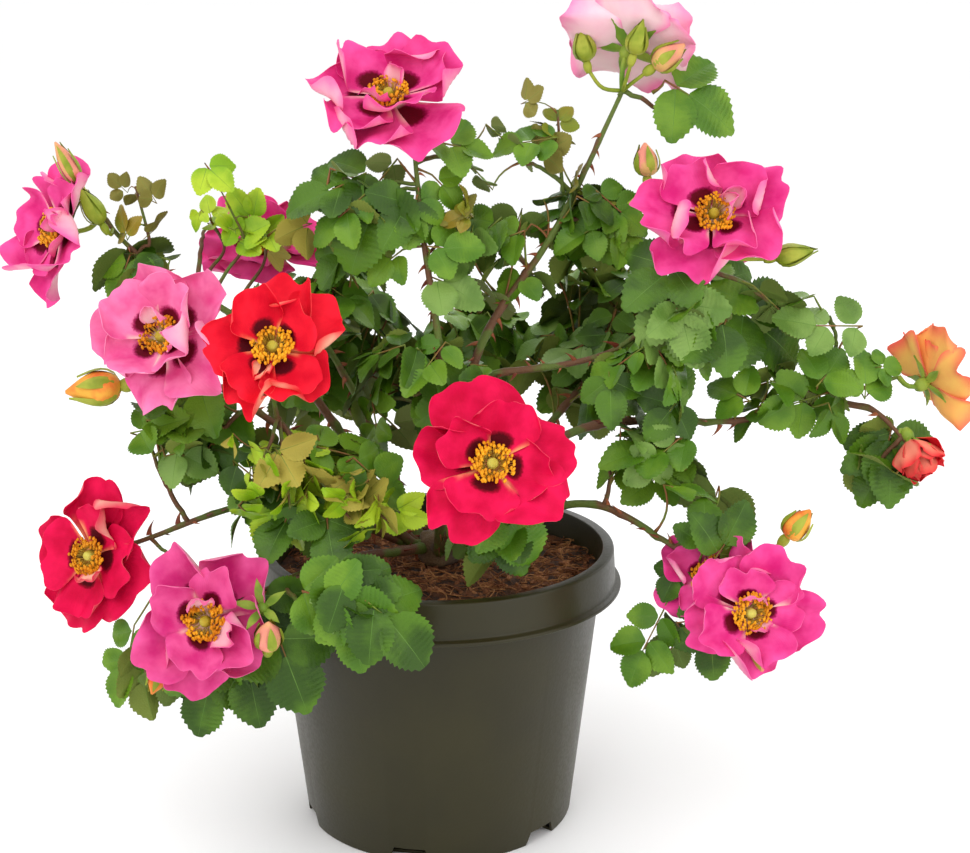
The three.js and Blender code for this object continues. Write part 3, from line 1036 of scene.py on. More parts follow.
def point_cloud(name, places, directions):
    """A mesh of loose points with a direction attribute for each name."""
    mesh = bpy.data.meshes.new(name)
    mesh.from_pydata((np.array(places) * MM).tolist(), [], [])
    for label, vectors in directions.items():
        layer = mesh.attributes.new(label, "FLOAT_VECTOR", "POINT")
        layer.data.foreach_set("vector", np.array(vectors, np.float32).ravel())
    return mesh


BARE_FOOT, BARE_TIP = 6, 5  # steps of a cane's route at its ends that bear no thorns
THORN_SINK = 0.8  # where a thorn's foot is, as a share of the cane's radius
THORN_LEAN = 0.25  # how far thorns lean back down the cane


class ROSE_OT_thorns(bpy.types.Operator):
    """Sets hooked thorns along the canes"""

    bl_idname = "rose.thorns"
    bl_label = "Thorns"

    def execute(self, context):
        settings = context.scene.rose_cane
        rng = np.random.default_rng(SEED + 3)
        places, outs, downs = [], [], []
        for route, radii in read_canes().values():
            tangents = np.gradient(route, axis=0)
            stride = max(1, round(settings.thorn_gap / np.linalg.norm(route[1] - route[0])))
            for index in range(BARE_FOOT, len(route) - BARE_TIP, stride):
                tangent = unit(tangents[index])
                out = rng.normal(size=3)
                out = unit(out - tangent * np.dot(out, tangent))
                places.append(route[index] + out * radii[index] * THORN_SINK)
                outs.append(unit(out - THORN_LEAN * tangent))
                downs.append(tangent)
        thorns = add_object("thorns", point_cloud("thorns", places, {"out": outs, "down": downs}))
        horn = soft_part("thorn_horn")
        run_tree(thorns, thorn_tree(horn), {"Thorn length": settings.thorn_length * MM, "Seed": SEED})
        if len(thorns.data.polygons) < len(places):
            raise RuntimeError("the thorns were not made")
        declare(thorns, "green_bark")
        return {"FINISHED"}


# ---------------------------------------------------------------------------
# Leaves

TINTS = ("deep", "green", "grey", "young", "bronze")
TINT_SHARES = {
    "usual": (0.34, 0.54, 0.12, 0.0, 0.0),
    "dark": (0.55, 0.43, 0.02, 0.0, 0.0),
    "fresh": (0.15, 0.45, 0.15, 0.25, 0.0),
    "lime": (0.05, 0.22, 0.08, 0.65, 0.0),
}
# A mass's share of the usual number of leaves, its leaves' size and their colours.
MASS_LOOKS = {
    "top_centre": (0.6, 1.0, "usual"),
    "between_tops": (0.15, 0.75, "usual"),
    "top_right": (0.2, 0.9, "dark"),
    "upper_right": (0.75, 0.85, "usual"),
    "upper_middle": (0.75, 0.85, "usual"),
    "centre": (0.85, 0.9, "usual"),
    "right_middle": (0.8, 0.85, "usual"),
    "right_shoulder": (0.35, 0.9, "usual"),
    "right_long": (0.48, 0.85, "usual"),
    "right_low": (0.8, 0.85, "usual"),
    "back_centre": (0.95, 0.95, "usual"),
    "back_right": (0.9, 0.95, "usual"),
    "back_left": (0.85, 0.95, "usual"),
    "right_tip": (0.55, 1.15, "usual"),
    "left_back": (0.9, 1.0, "lime"),
    "left_high": (0.6, 0.95, "fresh"),
    "left_low": (1.1, 0.9, "fresh"),
    "left": (1.0, 0.95, "usual"),
    "rim_left": (0.6, 1.1, "dark"),
    "low_left": (0.7, 1.0, "dark"),
    "low_right": (0.6, 0.95, "dark"),
    "low_right_under": (0.25, 0.8, "dark"),
}
# The grey tint's lighter grey-green is partly a real waxy bloom, partly a painted sheen of reflected sky.
BLADE_COLOURS = {
    "deep": ("305006", "4c7210", "5c702c"),
    "green": ("4a7414", "688e20", "748434"),
    "grey": ("5a7c2e", "789846", "7e8c4c"),
    "young": ("7eaa14", "b0cc2c", "a89c40"),
    "bronze": ("76821e", "8e7a26", "86803a"),
}


def leaflet_shape(teeth, widest, point, rng):
    """A unit leaflet: its length runs along Y and its saw-toothed edge across X."""
    stations = 2 * teeth + 1
    along = np.linspace(0, 1, stations)
    before = np.clip(1 - along / widest, 0, 0.995)
    after = np.clip((along - widest) / (1 - widest), 0, 0.985)
    width = 0.5 * np.where(along < widest, (1 - before**2)**0.5, np.cos(np.pi / 2 * after)**point)
    tooth = np.where(np.arange(stations) % 2 == 1, 1.055, 0.96)
    tooth[[0, -1]] = 1.0
    rib = 0.009 * (1.15 - along)
    wave = 0.022 * np.sin(np.linspace(0, 9, stations) + rng.uniform(0, 6))
    quilt = 0.02 * np.where(np.arange(stations) % 2 == 1, 1.0, -1.0) * np.sin(np.pi * along)
    columns = []
    for side, share in ((-1, 1.0), (-1, 0.55), (-1, 0.0), (1, 0.0), (1, 0.55), (1, 1.0)):
        across_share = width * share * (tooth if share == 1.0 else 1.0)
        x = side * np.maximum(across_share, rib)
        y = along + (0.03 * (tooth > 1) if share == 1.0 else 0.035 * share * np.sin(np.pi * along))
        z = quilt if share == 0.55 else wave * (share == 1.0) - 0.012 * (share == 0.0)
        columns.append(np.stack([x, y, z], 1))
    points = np.stack(columns, 1).reshape(-1, 3)
    faces = grid_faces(stations, len(columns))
    ribs = (np.arange(len(faces)) % 5 == 2).astype(int)
    places = np.stack([points[:, 0] + 0.5, points[:, 1]], 1)
    return points, faces, ribs, places


# Teeth on each side, widest place and bluntness of the tip of each leaflet shape.
LEAFLET_SHAPES = ((12, 0.42, 0.75), (12, 0.46, 0.68), (11, 0.5, 0.8), (11, 0.38, 0.7), (12, 0.44, 0.9))
# What a leaf or twig keeps clear of, in millimetres or as a share of a bloom's radius.
WALL_GAP = 2.0
SOIL_GAP = 3.0
BLOOM_FRONT = 60.0  # nothing stands closer than this in front of a bloom
BLOOM_BACK = 0.45
# How a leaf grows: sizes are shares of a full-grown leaflet, and the rest is in millimetres.
LEAF_SIZES = (0.74, 1.12)
ROOM_FOR_TWO = 20.0  # stalk length at which a leaf has two or three pairs of leaflets
ROOM_FOR_THREE = 48.0
PAIR_GAPS = (0.6, 0.72)  # between two pairs, as a share of a leaflet
BEST_REACH = 46.0  # from the joint to the leaf's tip
SHORT_REACH = (26.0, 32.0)  # a leaf shorter than the first grows to between the two
LONG_REACH = 64.0
END_REACH = (30.0, 42.0)  # of the leaf that ends a shoot
CROWDED = 14.0  # a joint with a leaf on it already counts as this much further off
BACKWARD = 25.0  # and so does one whose cane runs the other way
# How deep in its mass a leaf's tip is, as a share of the way to the surface.
INNER_DEPTH = (0.5, 0.85)
OUTER_DEPTH = (0.9, 1.14)
# Small leaves on a young shoot: share of full size, reach, and turn from one to the next.
YOUNG_SIZES = (0.36, 0.7)
YOUNG_REACH = (13.0, 19.0)
YOUNG_TURN = 2.4
# How often a place is tried again when something is in the way.
LEAF_TRIES = 14
SHOOT_TRIES = 8
PLANT_HEART = np.array([0.0, 15.0, 170.0])  # leaves turn away from here


class Foliage:
    """Grows twigs and leaves from the canes and gathers them by kind."""

    def __init__(self, settings, canes, blooms, rng):
        self.settings = settings
        self.rng = rng
        self.blooms = blooms
        self.wood = np.vstack([route for route, _ in canes.values()])
        self.wood_ways = np.vstack([np.gradient(route, axis=0) for route, _ in canes.values()])
        self.twigs = Heap()
        self.stalks = Heap()
        self.blades = {tint: Heap() for tint in TINTS}
        self.shapes = [leaflet_shape(*shape, rng) for shape in LEAFLET_SHAPES]

    def is_free(self, points):
        """Whether points keep clear of the pot's wall, of the soil and of the view of each bloom."""
        out = np.hypot(points[:, 0], points[:, 1])
        low = points[:, 2] < POT_TOP + 0.5 * WALL_GAP
        if (low & (out > POT_MOUTH - 1.5 * WALL_GAP) & (out < POT_EDGE + WALL_GAP)).any():
            return False
        if ((points[:, 2] < SOIL_TOP + SOIL_GAP) & (out < POT_EDGE)).any():
            return False
        for centre, axis, radius in self.blooms:
            spread = points - centre
            height = spread @ axis
            beside = np.linalg.norm(spread - np.outer(height, axis), axis=1)
            reach = radius * (0.98 + 0.25 * np.clip(height, 0, 12) / 12)
            if ((height > -BLOOM_BACK * radius) & (height < BLOOM_FRONT) & (beside < reach)).any():
                return False
        return True

    def leaflet(self, root, direction, facing, length):
        """One saw-toothed leaflet, folded along its rib and bent down towards its tip."""
        rng = self.rng
        points, faces, ribs, places = self.shapes[rng.integers(len(self.shapes))]
        side, forward, upward = across(direction, facing)
        x, y, z = points.T
        width = self.settings.leaflet_width * rng.uniform(0.9, 1.1)
        fold = rng.uniform(0.0, 0.32)
        droop = rng.uniform(0.0, 0.3)
        lift = z + fold * np.abs(x) - droop * y**2 + rng.normal(0, 0.07) * x * y
        shaped = root + length * (np.outer(x * width, side) + np.outer(y, forward) + np.outer(lift, upward))
        return shaped, [faces], ribs, places

    def leaf(self, start, leaving, tip, facing, tint, size=1.0, within=None):
        """A compound leaf that lies across the way it faces. Returns whether there was room for it.

        Only a leaf given its mass's centre and half size is refused, if it strays out of them or gets
        in the way of the pot or a bloom."""
        rng = self.rng
        length = self.settings.leaflet_length * size * rng.uniform(*LEAF_SIZES)
        gap = tip - start
        flat = gap - facing * np.dot(gap, facing) - 0.2 * np.linalg.norm(gap) * UP
        side, flat, facing = across(flat, facing)
        room = np.linalg.norm(gap) - length
        pairs = 1 if room < ROOM_FOR_TWO else 2 if room < ROOM_FOR_THREE or rng.random() < 0.6 else 3
        spacing = length * rng.uniform(*PAIR_GAPS)
        rachis = min(spacing * (pairs - 0.35), max(room, 7.0 * size))
        neck = tip - flat * (length + rachis)
        petiole = bent_route(start, neck, leaving, 0.35, 4.0)
        route = np.vstack([petiole[:-1], bent_route(neck, tip - flat * length, flat, 0.3, 4.0)])
        leaflets = [self.leaflet(route[-1], flat + rng.normal(0, 0.12, 3), facing, length)]
        for pair in range(pairs):
            share = (pair + 0.42) * spacing if pairs > 1 else rachis * 0.55
            root = tip - flat * (length + min(share, rachis))
            smaller = length * (0.92 - 0.1 * pair) * rng.uniform(0.86, 1.06)
            for hand in (-1, 1):
                way = flat * rng.uniform(0.3, 0.7) + side * hand + facing * rng.normal(0.0, 0.16)
                tilt = unit(facing + side * hand * rng.normal(-0.08, 0.25) + flat * rng.normal(0, 0.2))
                leaflets.append(self.leaflet(root + unit(way) * 1.2, way, tilt, smaller))
        spread = np.vstack([shaped for shaped, _, _, _ in leaflets])
        if within is not None:
            centre, half = within
            if (((spread - centre) / half)**2).sum(1).max() > 1 or not self.is_free(spread):
                return False
        radii = np.linspace(0.75, 0.42, len(route)) * min(1.0, size)
        radii[0] *= 1.5
        self.stalks.add(*tube(route, radii, 4))
        for shaped, faces, ribs, places in leaflets:
            self.blades[tint].add(shaped, faces, ribs, places)
        return True

    def shoot(self, start, leaving, stop, radius=1.4):
        """A twig with a joint wherever a leaf can grow. Returns the joints and their directions."""
        route = bent_route(start, stop, leaving, 0.35, WOOD_STEP)
        for _ in range(SHOOT_TRIES):
            if self.is_free(route[3:]):
                break
            aside = stop + self.rng.normal(0, 9, 3)
            route = bent_route(start, aside, leaving, self.rng.uniform(0.1, 0.5), WOOD_STEP)
        kinks = self.rng.normal(0, 0.3, route.shape)
        kinks[[0, -1]] = 0.0
        route = route + kinks
        radii = radius * (1 - 0.4 * np.linspace(0, 1, len(route)))
        radii[-1] = 0.35 * radius
        self.twigs.add(*tube(route, radii, 7))
        stride = max(1, round(self.settings.axil_gap / WOOD_STEP))
        picked = np.arange(len(route) - 1, 1, -stride)
        return route[picked], np.gradient(route, axis=0)[picked]

    def joints_inside(self, centre, half):
        """Joints on the canes that run through a mass, and their directions."""
        inside = np.where((((self.wood - centre) / (half * 1.15))**2).sum(1) < 1)[0]
        picked = inside[::max(1, round(self.settings.axil_gap / WOOD_STEP))]
        return self.wood[picked], self.wood_ways[picked]

    def shoot_ends(self, centre, half):
        """Where the shoots of a mass end: the bigger the mass, the more of them."""
        if half.max() < 24:
            return [centre]
        long_axis = np.zeros(3)
        long_axis[np.argmax(half)] = 1.0
        ends = [centre + long_axis * half * share for share in (-0.5, 0.45)]
        if np.prod(half) > 25000:
            ends += [centre + half * np.array(share) for share in ((0.1, -0.5, 0.2), (-0.1, 0.5, 0.1),
                                                                  (0.0, 0.0, 0.6))]
        return ends

    def fill(self, name):
        """Replaces one foliage mass with shoots and leaves that reach its surface."""
        rng = self.rng
        centre, half = node_box(name)
        joints, ways = self.joints_inside(centre, half)
        ends = []
        for target in self.shoot_ends(centre, half):
            nearest = np.argmin(np.linalg.norm(self.wood - target, axis=1)
                                + 0.06 * np.abs(self.wood - CROWN_CENTRE).max(1))
            start, way = self.wood[nearest], unit(self.wood_ways[nearest])
            if np.linalg.norm(target - start) > 9:
                leaving = unit(target - start) + 0.5 * way + 0.25 * UP
                more, more_ways = self.shoot(start, leaving, target)
                joints, ways = np.vstack([joints, more]), np.vstack([ways, more_ways])
                ends.append((more[0], unit(more_ways[0])))
        a, b, c = half
        area = 4 * np.pi * (((a * b)**1.6 + (a * c)**1.6 + (b * c)**1.6) / 3)**(1 / 1.6)
        share, size, tints = MASS_LOOKS.get(name.removeprefix("foliage_"), (1.0, 1.0, "usual"))
        count = max(1, round(area / 1000 * self.settings.density * share))
        within = (centre, half + self.settings.stray)
        for end, way in ends:
            facing = unit(0.6 * UP + 0.6 * unit((end - centre) / half**2) + rng.normal(0, 0.2, 3))
            tip = end + unit(way + 0.2 * UP) * rng.uniform(*END_REACH)
            tint = TINTS[rng.choice(len(TINTS), p=TINT_SHARES[tints])]
            self.leaf(end, way, tip, facing, tint, size, within)
        used = np.zeros(len(joints))
        golden = np.pi * (3 - 5**0.5)
        for index in range(count):
            rise = 1 - 2 * (index + 0.5) / count
            depth = rng.uniform(*(INNER_DEPTH if index % 3 == 0 else OUTER_DEPTH))
            for _ in range(LEAF_TRIES):
                turn = golden * index + rng.uniform(-0.5, 0.5)
                level = (1 - rise * rise)**0.5
                outward = np.array([level * math.cos(turn), level * math.sin(turn), rise])
                outward = unit(outward + rng.normal(0, 0.12, 3))
                tint = TINTS[rng.choice(len(TINTS), p=TINT_SHARES[tints])]
                tip = centre + half * outward * depth
                if self.leaf_towards(tip, outward / half, joints, ways, used, tint, size, within):
                    break

    def leaf_towards(self, tip, outward, joints, ways, used, tint, size, within):
        """Grows a leaf from the joint that suits its tip best, facing out of the mass and up."""
        rng = self.rng
        gaps = tip - joints
        reach = np.linalg.norm(gaps, axis=1)
        backward = (gaps * ways).sum(1) < -0.4 * reach * np.linalg.norm(ways, axis=1)
        best = np.argmin(np.abs(reach - BEST_REACH) + BACKWARD * backward + CROWDED * used)
        start, gap = joints[best], gaps[best]
        if reach[best] < SHORT_REACH[0] or reach[best] > LONG_REACH:
            tip = start + unit(gap) * min(LONG_REACH, max(reach[best], rng.uniform(*SHORT_REACH)))
        normal = unit(outward)
        normal[2] = max(normal[2], -0.15)
        away = unit(tip - PLANT_HEART)
        facing = unit(0.42 * UP + 0.7 * normal + 0.25 * away + rng.normal(0, 0.22, 3))
        leaving = 0.6 * unit(ways[best]) + 0.6 * unit(gap) + 0.3 * UP
        if not self.leaf(start, leaving, tip, facing, tint, size, within):
            used[best] += 0.1
            return False
        used[best] += 1
        return True

    def young_shoot(self, foot, tip, tint):
        """A soft shoot with small leaves crowded towards its tip."""
        rng = self.rng
        nearest = np.argmin(np.linalg.norm(self.wood - foot, axis=1))
        start = self.wood[nearest]
        if np.linalg.norm(start - foot) < 4:
            start = self.wood[max(nearest - 6, 0)]
        route = smooth_route([start, 0.5 * (start + foot) + (0.0, 0.0, 0.5), foot, tip], 2.0)
        self.twigs.add(*tube(route, np.linspace(1.1, 0.6, len(route)), 6))
        ways = np.gradient(route, axis=0)
        first = np.argmin(np.linalg.norm(route - foot, axis=1))
        for step, index in enumerate(range(first + 1, len(route), 3)):
            way = unit(ways[index])
            turn = step * YOUNG_TURN + rng.uniform(-0.3, 0.3)
            side, _, other = across(way, np.array([0.0, -1.0, 0.2]))
            out = side * math.cos(turn) + other * math.sin(turn)
            end = route[index] + unit(0.9 * way + out) * rng.uniform(*YOUNG_REACH)
            facing = unit(0.7 * way + 0.5 * rng.normal(0, 1, 3) - 0.3 * out)
            self.leaf(route[index], way, end, facing, tint, rng.uniform(*YOUNG_SIZES))


YOUNG_SHOOTS = (
    ((63, 8, 327), (60, 8, 366), "bronze"),
    ((-2, -10, 299), (15, -16, 318), "bronze"),
    ((-143, 5, 302), (-150, 12, 328), "bronze"),
    ((-96, 8, 300), (-102, 4, 318), "young"),
    ((-108, 20, 296), (-114, 14, 312), "young"),
    ((-88, 16, 288), (-84, 6, 304), "young"),
    ((-76, -72, 218), (-86, -82, 196), "young"),
    ((-70, -74, 214), (-66, -86, 190), "young"),
    ((-60, -76, 210), (-38, -88, 186), "young"),
    ((-52, -74, 206), (-18, -86, 182), "young"),
)


SHOOT_NEEDED = 12.0  # a joint further than this from the wood gets a shoot of its own
# Large leaves that show on their own: joint, tip, way it faces, tint and size.
SHOWN_LEAVES = (
    ((108, 26, 373), (152, 20, 357), (0.1, -0.8, 0.55), "green", 1.42),
    ((-30, -16, 330), (-72, -24, 319), (-0.1, -0.6, 0.8), "deep", 1.3),
    ((-24, -18, 328), (-38, -32, 291), (-0.2, -0.9, 0.35), "deep", 1.3),
    ((-10, -18, 326), (-12, -30, 302), (0.2, -0.9, 0.3), "green", 1.0),
    ((-7, -12, 346), (29, -10, 346), (0.1, -0.6, 0.8), "green", 0.9),
    ((-6, -14, 340), (14, -16, 321), (0.3, -0.8, 0.4), "green", 0.8),
    ((64, 8, 328), (26, 0, 348), (0.0, -0.6, 0.8), "green", 0.72),
    ((-45, -106, 152), (2, -126, 132), (0.1, -0.8, 0.6), "deep", 1.35),
    ((-40, -104, 150), (-30, -124, 124), (0.0, -0.9, 0.4), "green", 1.1),
    ((-62, -60, 182), (-76, -86, 161), (-0.3, -0.7, 0.6), "deep", 1.1),
    ((-50, -62, 178), (-46, -98, 163), (-0.1, -0.7, 0.7), "deep", 1.1),
    ((-98, -90, 134), (-114, -88, 76), (-0.1, -0.9, 0.2), "deep", 1.35),
    ((-92, -90, 134), (-84, -90, 81), (0.1, -0.9, 0.3), "deep", 1.2),
    ((-80, -92, 138), (-58, -106, 95), (0.1, -0.9, 0.3), "deep", 1.25),
    ((-132, -60, 146), (-152, -78, 88), (-0.4, -0.8, 0.2), "green", 0.95),
    ((-108, -48, 236), (-140, -50, 214), (-0.2, -0.8, 0.5), "green", 1.15),
    ((-8, -24, 304), (-34, -30, 288), (-0.1, -0.8, 0.5), "green", 0.8),
    ((-4, -26, 296), (24, -26, 300), (0.1, -0.8, 0.5), "green", 0.8),
    ((-2, -28, 284), (26, -28, 278), (0.1, -0.8, 0.6), "grey", 0.85),
    ((128, -62, 154), (128, -58, 190), (0.1, -0.9, 0.3), "deep", 1.1),
    ((132, -62, 154), (152, -58, 184), (0.3, -0.9, 0.2), "deep", 1.0),
    ((122, -58, 152), (109, -62, 136), (-0.2, -0.8, 0.5), "deep", 0.6),
    ((122, -58, 144), (92, -70, 94), (-0.3, -0.8, 0.5), "green", 0.8),
    ((126, -60, 150), (136, -74, 99), (0.1, -0.9, 0.3), "deep", 1.0),
    ((133, -20, 286), (186, -10, 240), (0.2, -0.8, 0.55), "deep", 1.2),
    ((133, -20, 286), (158, -14, 268), (0.2, -0.7, 0.7), "green", 1.05),
    ((118, -18, 276), (126, -42, 246), (-0.3, -0.9, 0.2), "grey", 1.15),
    ((118, -18, 276), (92, -36, 274), (-0.1, -0.7, 0.7), "deep", 1.15),
    ((190, -4, 218), (206, -8, 249), (0.1, -0.8, 0.5), "green", 0.9),
    ((208, 0, 222), (216, -6, 250), (0.3, -0.8, 0.3), "green", 0.8),
    ((222, 4, 226), (234, -4, 240), (0.2, -0.8, 0.5), "green", 0.55),
    ((150, -8, 214), (134, -14, 236), (0.0, -0.8, 0.6), "green", 0.8),
    ((228, -4, 206), (236, -8, 166), (0.2, -0.9, 0.3), "deep", 1.1),
)


class ROSE_OT_leaves(bpy.types.Operator):
    """Grows twigs and compound leaves in place of the foliage masses"""

    bl_idname = "rose.leaves"
    bl_label = "Leaves"

    def execute(self, context):
        settings = context.scene.rose_leaf
        blooms = [bloom_pose(name) for name in nodes_named("bloom_")]
        foliage = Foliage(settings, read_canes(), blooms, np.random.default_rng(SEED + 4))
        masses = nodes_named("foliage_")
        for name in masses:
            foliage.fill(name)
        for joint, tip, facing, tint, size in SHOWN_LEAVES:
            joint, tip, facing = np.array(joint, float), np.array(tip, float), unit(np.array(facing))
            start = foliage.wood[np.argmin(np.linalg.norm(foliage.wood - joint, axis=1))]
            if np.linalg.norm(joint - start) > SHOOT_NEEDED:
                foliage.shoot(start, unit(joint - start) + 0.4 * UP, joint, 1.1)
                start = joint
            foliage.leaf(start, unit(tip - start) + 0.4 * UP, tip, facing, tint, size)
        for foot, tip, tint in YOUNG_SHOOTS:
            foliage.young_shoot(np.array(foot, float), np.array(tip, float), tint)
        cane = context.scene.rose_cane
        twig = cane_bark("twig_bark", cane.green, cane.red, 0.15)
        stalk = soft_part("leaf_stalk")
        rib = soft_part("leaf_rib")
        add_piece("twigs", foliage.twigs, [twig], "green_bark")
        add_piece("leaf_stalks", foliage.stalks, [stalk], "leaves")
        for tint, heap in foliage.blades.items():
            blade = leaf_blade("leaf_" + tint, *BLADE_COLOURS[tint])
            nodes = masses if tint == "green" else ()
            add_piece("leaves_" + tint, heap, [blade, rib], "leaves", *nodes)
        return {"FINISHED"}


# ---------------------------------------------------------------------------
# Blooms

PETAL_COLOURS = {
    "pink": ("cc1a70", "f0559f", "5c0418", "f6d4c0", "f6c4ca"),
    "rose": ("d83c82", "f586b6", "5c081c", "f6dcc8", "fad6dc"),
    "magenta": ("c42070", "e85e9c", "560416", "f2ccb8", "f2c0c8"),
    "red": ("b80030", "e61450", "4c020e", "f4ac70", "f6c0aa"),
    "scarlet": ("c60020", "ee1e34", "4c020e", "f6b478", "f6bc9c"),
    "ember": ("c0102a", "e02c34", "4c020e", "f4ac70", "f08c74"),
    "coral": ("ea5a48", "f06a58", "c8602c", "f2cc58", "f2c064"),
}


def rolled(distance, radius, limit):
    """How far along and up a sheet is that rolls by a limited angle, past the crease at 0."""
    turn = np.clip(distance / radius, 0, limit)
    beyond = np.maximum(distance - radius * limit, 0)
    along = np.minimum(distance, 0) + radius * np.sin(turn) + beyond * math.cos(limit)
    return along, radius * (1 - np.cos(turn)) + beyond * math.sin(limit)


BEND_AT = 0.66  # where along its length a petal starts to bend back
BEND_RADIUS = 0.5  # of that bend, as a share of its length
FOLD_CHANCE = 0.5  # share of the petals that have one edge folded over


def petal(length, width, lift, cup, ruffle, curl, rng, across_count=21, along_count=15):
    """A broad wavy petal that runs along Y and faces up Z, with its UV places.

    Its outline has a waved edge, a notch and worn corners; its surface broad waves, fine ruffles
    and folds, each sine with a phase of its own."""
    u, v = np.meshgrid(np.linspace(-1, 1, across_count), np.linspace(0, 1, along_count))
    half = width / 2 * (0.13 + 0.87 * smooth_step(-0.1, 0.66, v)) * (1 - 0.14 * v**6)
    phase = rng.uniform(0, 6.28, 8)
    edge_wave = 0.04 * np.sin(4.6 * u + phase[0]) + 0.022 * np.sin(9.5 * u + phase[1])
    notch = 0.08 * rng.uniform(0.0, 1.6) * np.exp(-((u - rng.uniform(-0.3, 0.3)) / 0.2)**2)
    corner = rng.uniform(0.2, 0.36) * np.abs(u)**2.3 * v**2
    x = u * half
    y = length * (v - corner + (edge_wave - notch) * v**4)
    broad = np.sin(1.9 * u + phase[2] + 1.1 * v) + 0.6 * np.sin(3.7 * u + phase[3] - 1.6 * v)
    fine = np.sin(7.0 * u + phase[4]) * v**4 + np.sin(5.5 * v + phase[5]) * np.abs(u)**2.5 * v
    folds = np.sin(4.4 * u + 1.7 * np.sin(2.6 * v + phase[1]) + phase[5]) * v**1.5
    z = cup * (v**2 - v) * length
    z += length * ruffle * (0.09 * broad * v**1.8 + 0.065 * fine + 0.05 * folds)
    z += 0.14 * length * u**2 * half / width * (1 + 0.6 * np.sin(phase[6]))
    if rng.random() < FOLD_CHANCE:
        slant = rng.uniform(0.1, 0.9)
        hand = rng.choice((-1, 1))
        over = hand * x * math.cos(slant) + y * math.sin(slant)
        over -= over.max() - length * rng.uniform(0.14, 0.34)
        folded, raised = rolled(over, rng.uniform(1.2, 2.6), rng.uniform(1.2, 2.7))
        shift = np.where(over > 0, folded - over, 0.0)
        x = x + hand * shift * math.cos(slant)
        y = y + shift * math.sin(slant)
        z = z + raised
    bend, fall = rolled(y - BEND_AT * length, length * BEND_RADIUS, 1.2)
    y = BEND_AT * length + bend
    z = z - curl * fall
    tilted = y * math.cos(lift) - z * math.sin(lift)
    z = y * math.sin(lift) + z * math.cos(lift)
    points = np.stack([x + 0.1 * np.sin(phase[7]) * tilted * v, tilted, z], -1).reshape(-1, 3)
    places = np.stack([u * 0.5 + 0.5, v], -1).reshape(-1, 2)
    return points, grid_faces(along_count, across_count), places


def turned(points, angle):
    """Points turned about the Z axis."""
    cosine, sine = math.cos(angle), math.sin(angle)
    x, y, z = points.T
    return np.stack([x * cosine - y * sine, x * sine + y * cosine, z], 1)


# Whorls from the outermost in: petals, length, width, lift in degrees, cup, ruffle and curl.
WHORLS = {
    "open": ((5, 1.1, 1.08, 6, 0.14, 1.0, 0.5), (4, 0.88, 0.92, 20, 0.2, 1.1, 0.3)),
    "cupped": ((5, 1.17, 1.18, 12, 0.2, 1.0, 0.4), (4, 0.94, 0.98, 28, 0.26, 1.1, 0.2)),
    "flat": ((5, 1.1, 1.12, 4, 0.1, 1.0, 0.5), (4, 0.84, 0.9, 17, 0.16, 1.2, 0.2)),
    "half_open": ((5, 1.15, 1.15, 58, 0.5, 0.5, 0.8), (4, 1.1, 1.0, 70, 0.4, 0.4, 0.2),
                  (3, 1.0, 0.8, 80, 0.3, 0.3, 0.0)),
}
# A bloom's colour and form, its petaloids and its width and height as shares of a round bloom's.
# Petaloids are small petals in its middle: turn and lift in degrees, length and width.
BLOOM_LOOKS = {
    "top_centre": ("pink", "cupped", ((-35, 58, 0.5, 0.42), (150, 70, 0.45, 0.35)), (1.0, 0.83)),
    "top_right": ("rose", "open", (), (1.0, 1.0)),
    "right": ("pink", "cupped", ((100, 66, 0.5, 0.4), (128, 50, 0.55, 0.36)), (1.0, 0.8)),
    "left_high": ("pink", "open", ((120, 60, 0.45, 0.34),), (0.92, 0.9)),
    "left_pink": ("rose", "cupped", ((80, 55, 0.5, 0.44), (200, 60, 0.5, 0.36)), (0.92, 0.88)),
    "left_red": ("scarlet", "flat", ((-25, 22, 0.5, 0.3),), (0.95, 1.0)),
    "front_red": ("red", "flat", (), (0.98, 0.94)),
    "low_left_red": ("red", "open", ((30, 50, 0.5, 0.4),), (0.84, 1.06)),
    "low_left_pink": ("magenta", "cupped", ((60, 48, 0.62, 0.5), (190, 62, 0.5, 0.4)), (0.86, 0.96)),
    "low_right": ("pink", "open", ((170, 62, 0.5, 0.4), (30, 56, 0.45, 0.34)), (1.08, 0.94)),
    "low_right_behind": ("pink", "open", (), (1.0, 0.9)),
    "behind_left": ("pink", "open", (), (1.1, 0.74)),
    "far_right": ("coral", "open", (), (0.92, 0.94)),
    "back_centre": ("red", "flat", (), (1.0, 0.95)),
    "back_right": ("pink", "cupped", ((90, 60, 0.5, 0.4),), (0.95, 0.95)),
}


PETAL_SHIFT = 0.18  # how far a bloom's base is behind its solid's centre, as a share of its radius
SEPAL_LENGTH = 13.0  # of the half-open and the spent bloom
STAMEN_LENGTH = 8.4
STAMEN_RING = (1.8, 3.4)  # radii between which the stamens stand
STAMEN_FOOT = 2.5  # their height over the bloom's base
STAMEN_LEAN = 1.05


def local_to_world(points, centre, axis, roll=0.0, stretch=(1.0, 1.0)):
    """Points of a bloom or bud that faces up Z, set at its centre and turned to face its way."""
    side, _, _ = across(axis, UP if abs(axis[2]) < 0.95 else np.array([0.0, 1.0, 0.0]))
    other = np.cross(axis, side)
    spun = turned(points, roll)
    level, rise = stretch[0] * spun[:, 0], stretch[1] * spun[:, 1]
    return centre + np.outer(level, side) + np.outer(rise, other) + np.outer(spun[:, 2], axis)


SEPALS = 5


def add_sepal(heap, lines, index, base, axis, roll, flip=1):
    """One sepal out of three lines of points, turned to its place. A flip of -1 turns it over."""
    faces = grid_faces(len(lines[0]), len(lines))[:, ::flip]
    spun = turned(np.stack(lines, 1).reshape(-1, 3), index * 2 * np.pi / SEPALS)
    heap.add(local_to_world(spun, base, axis, roll), [faces])


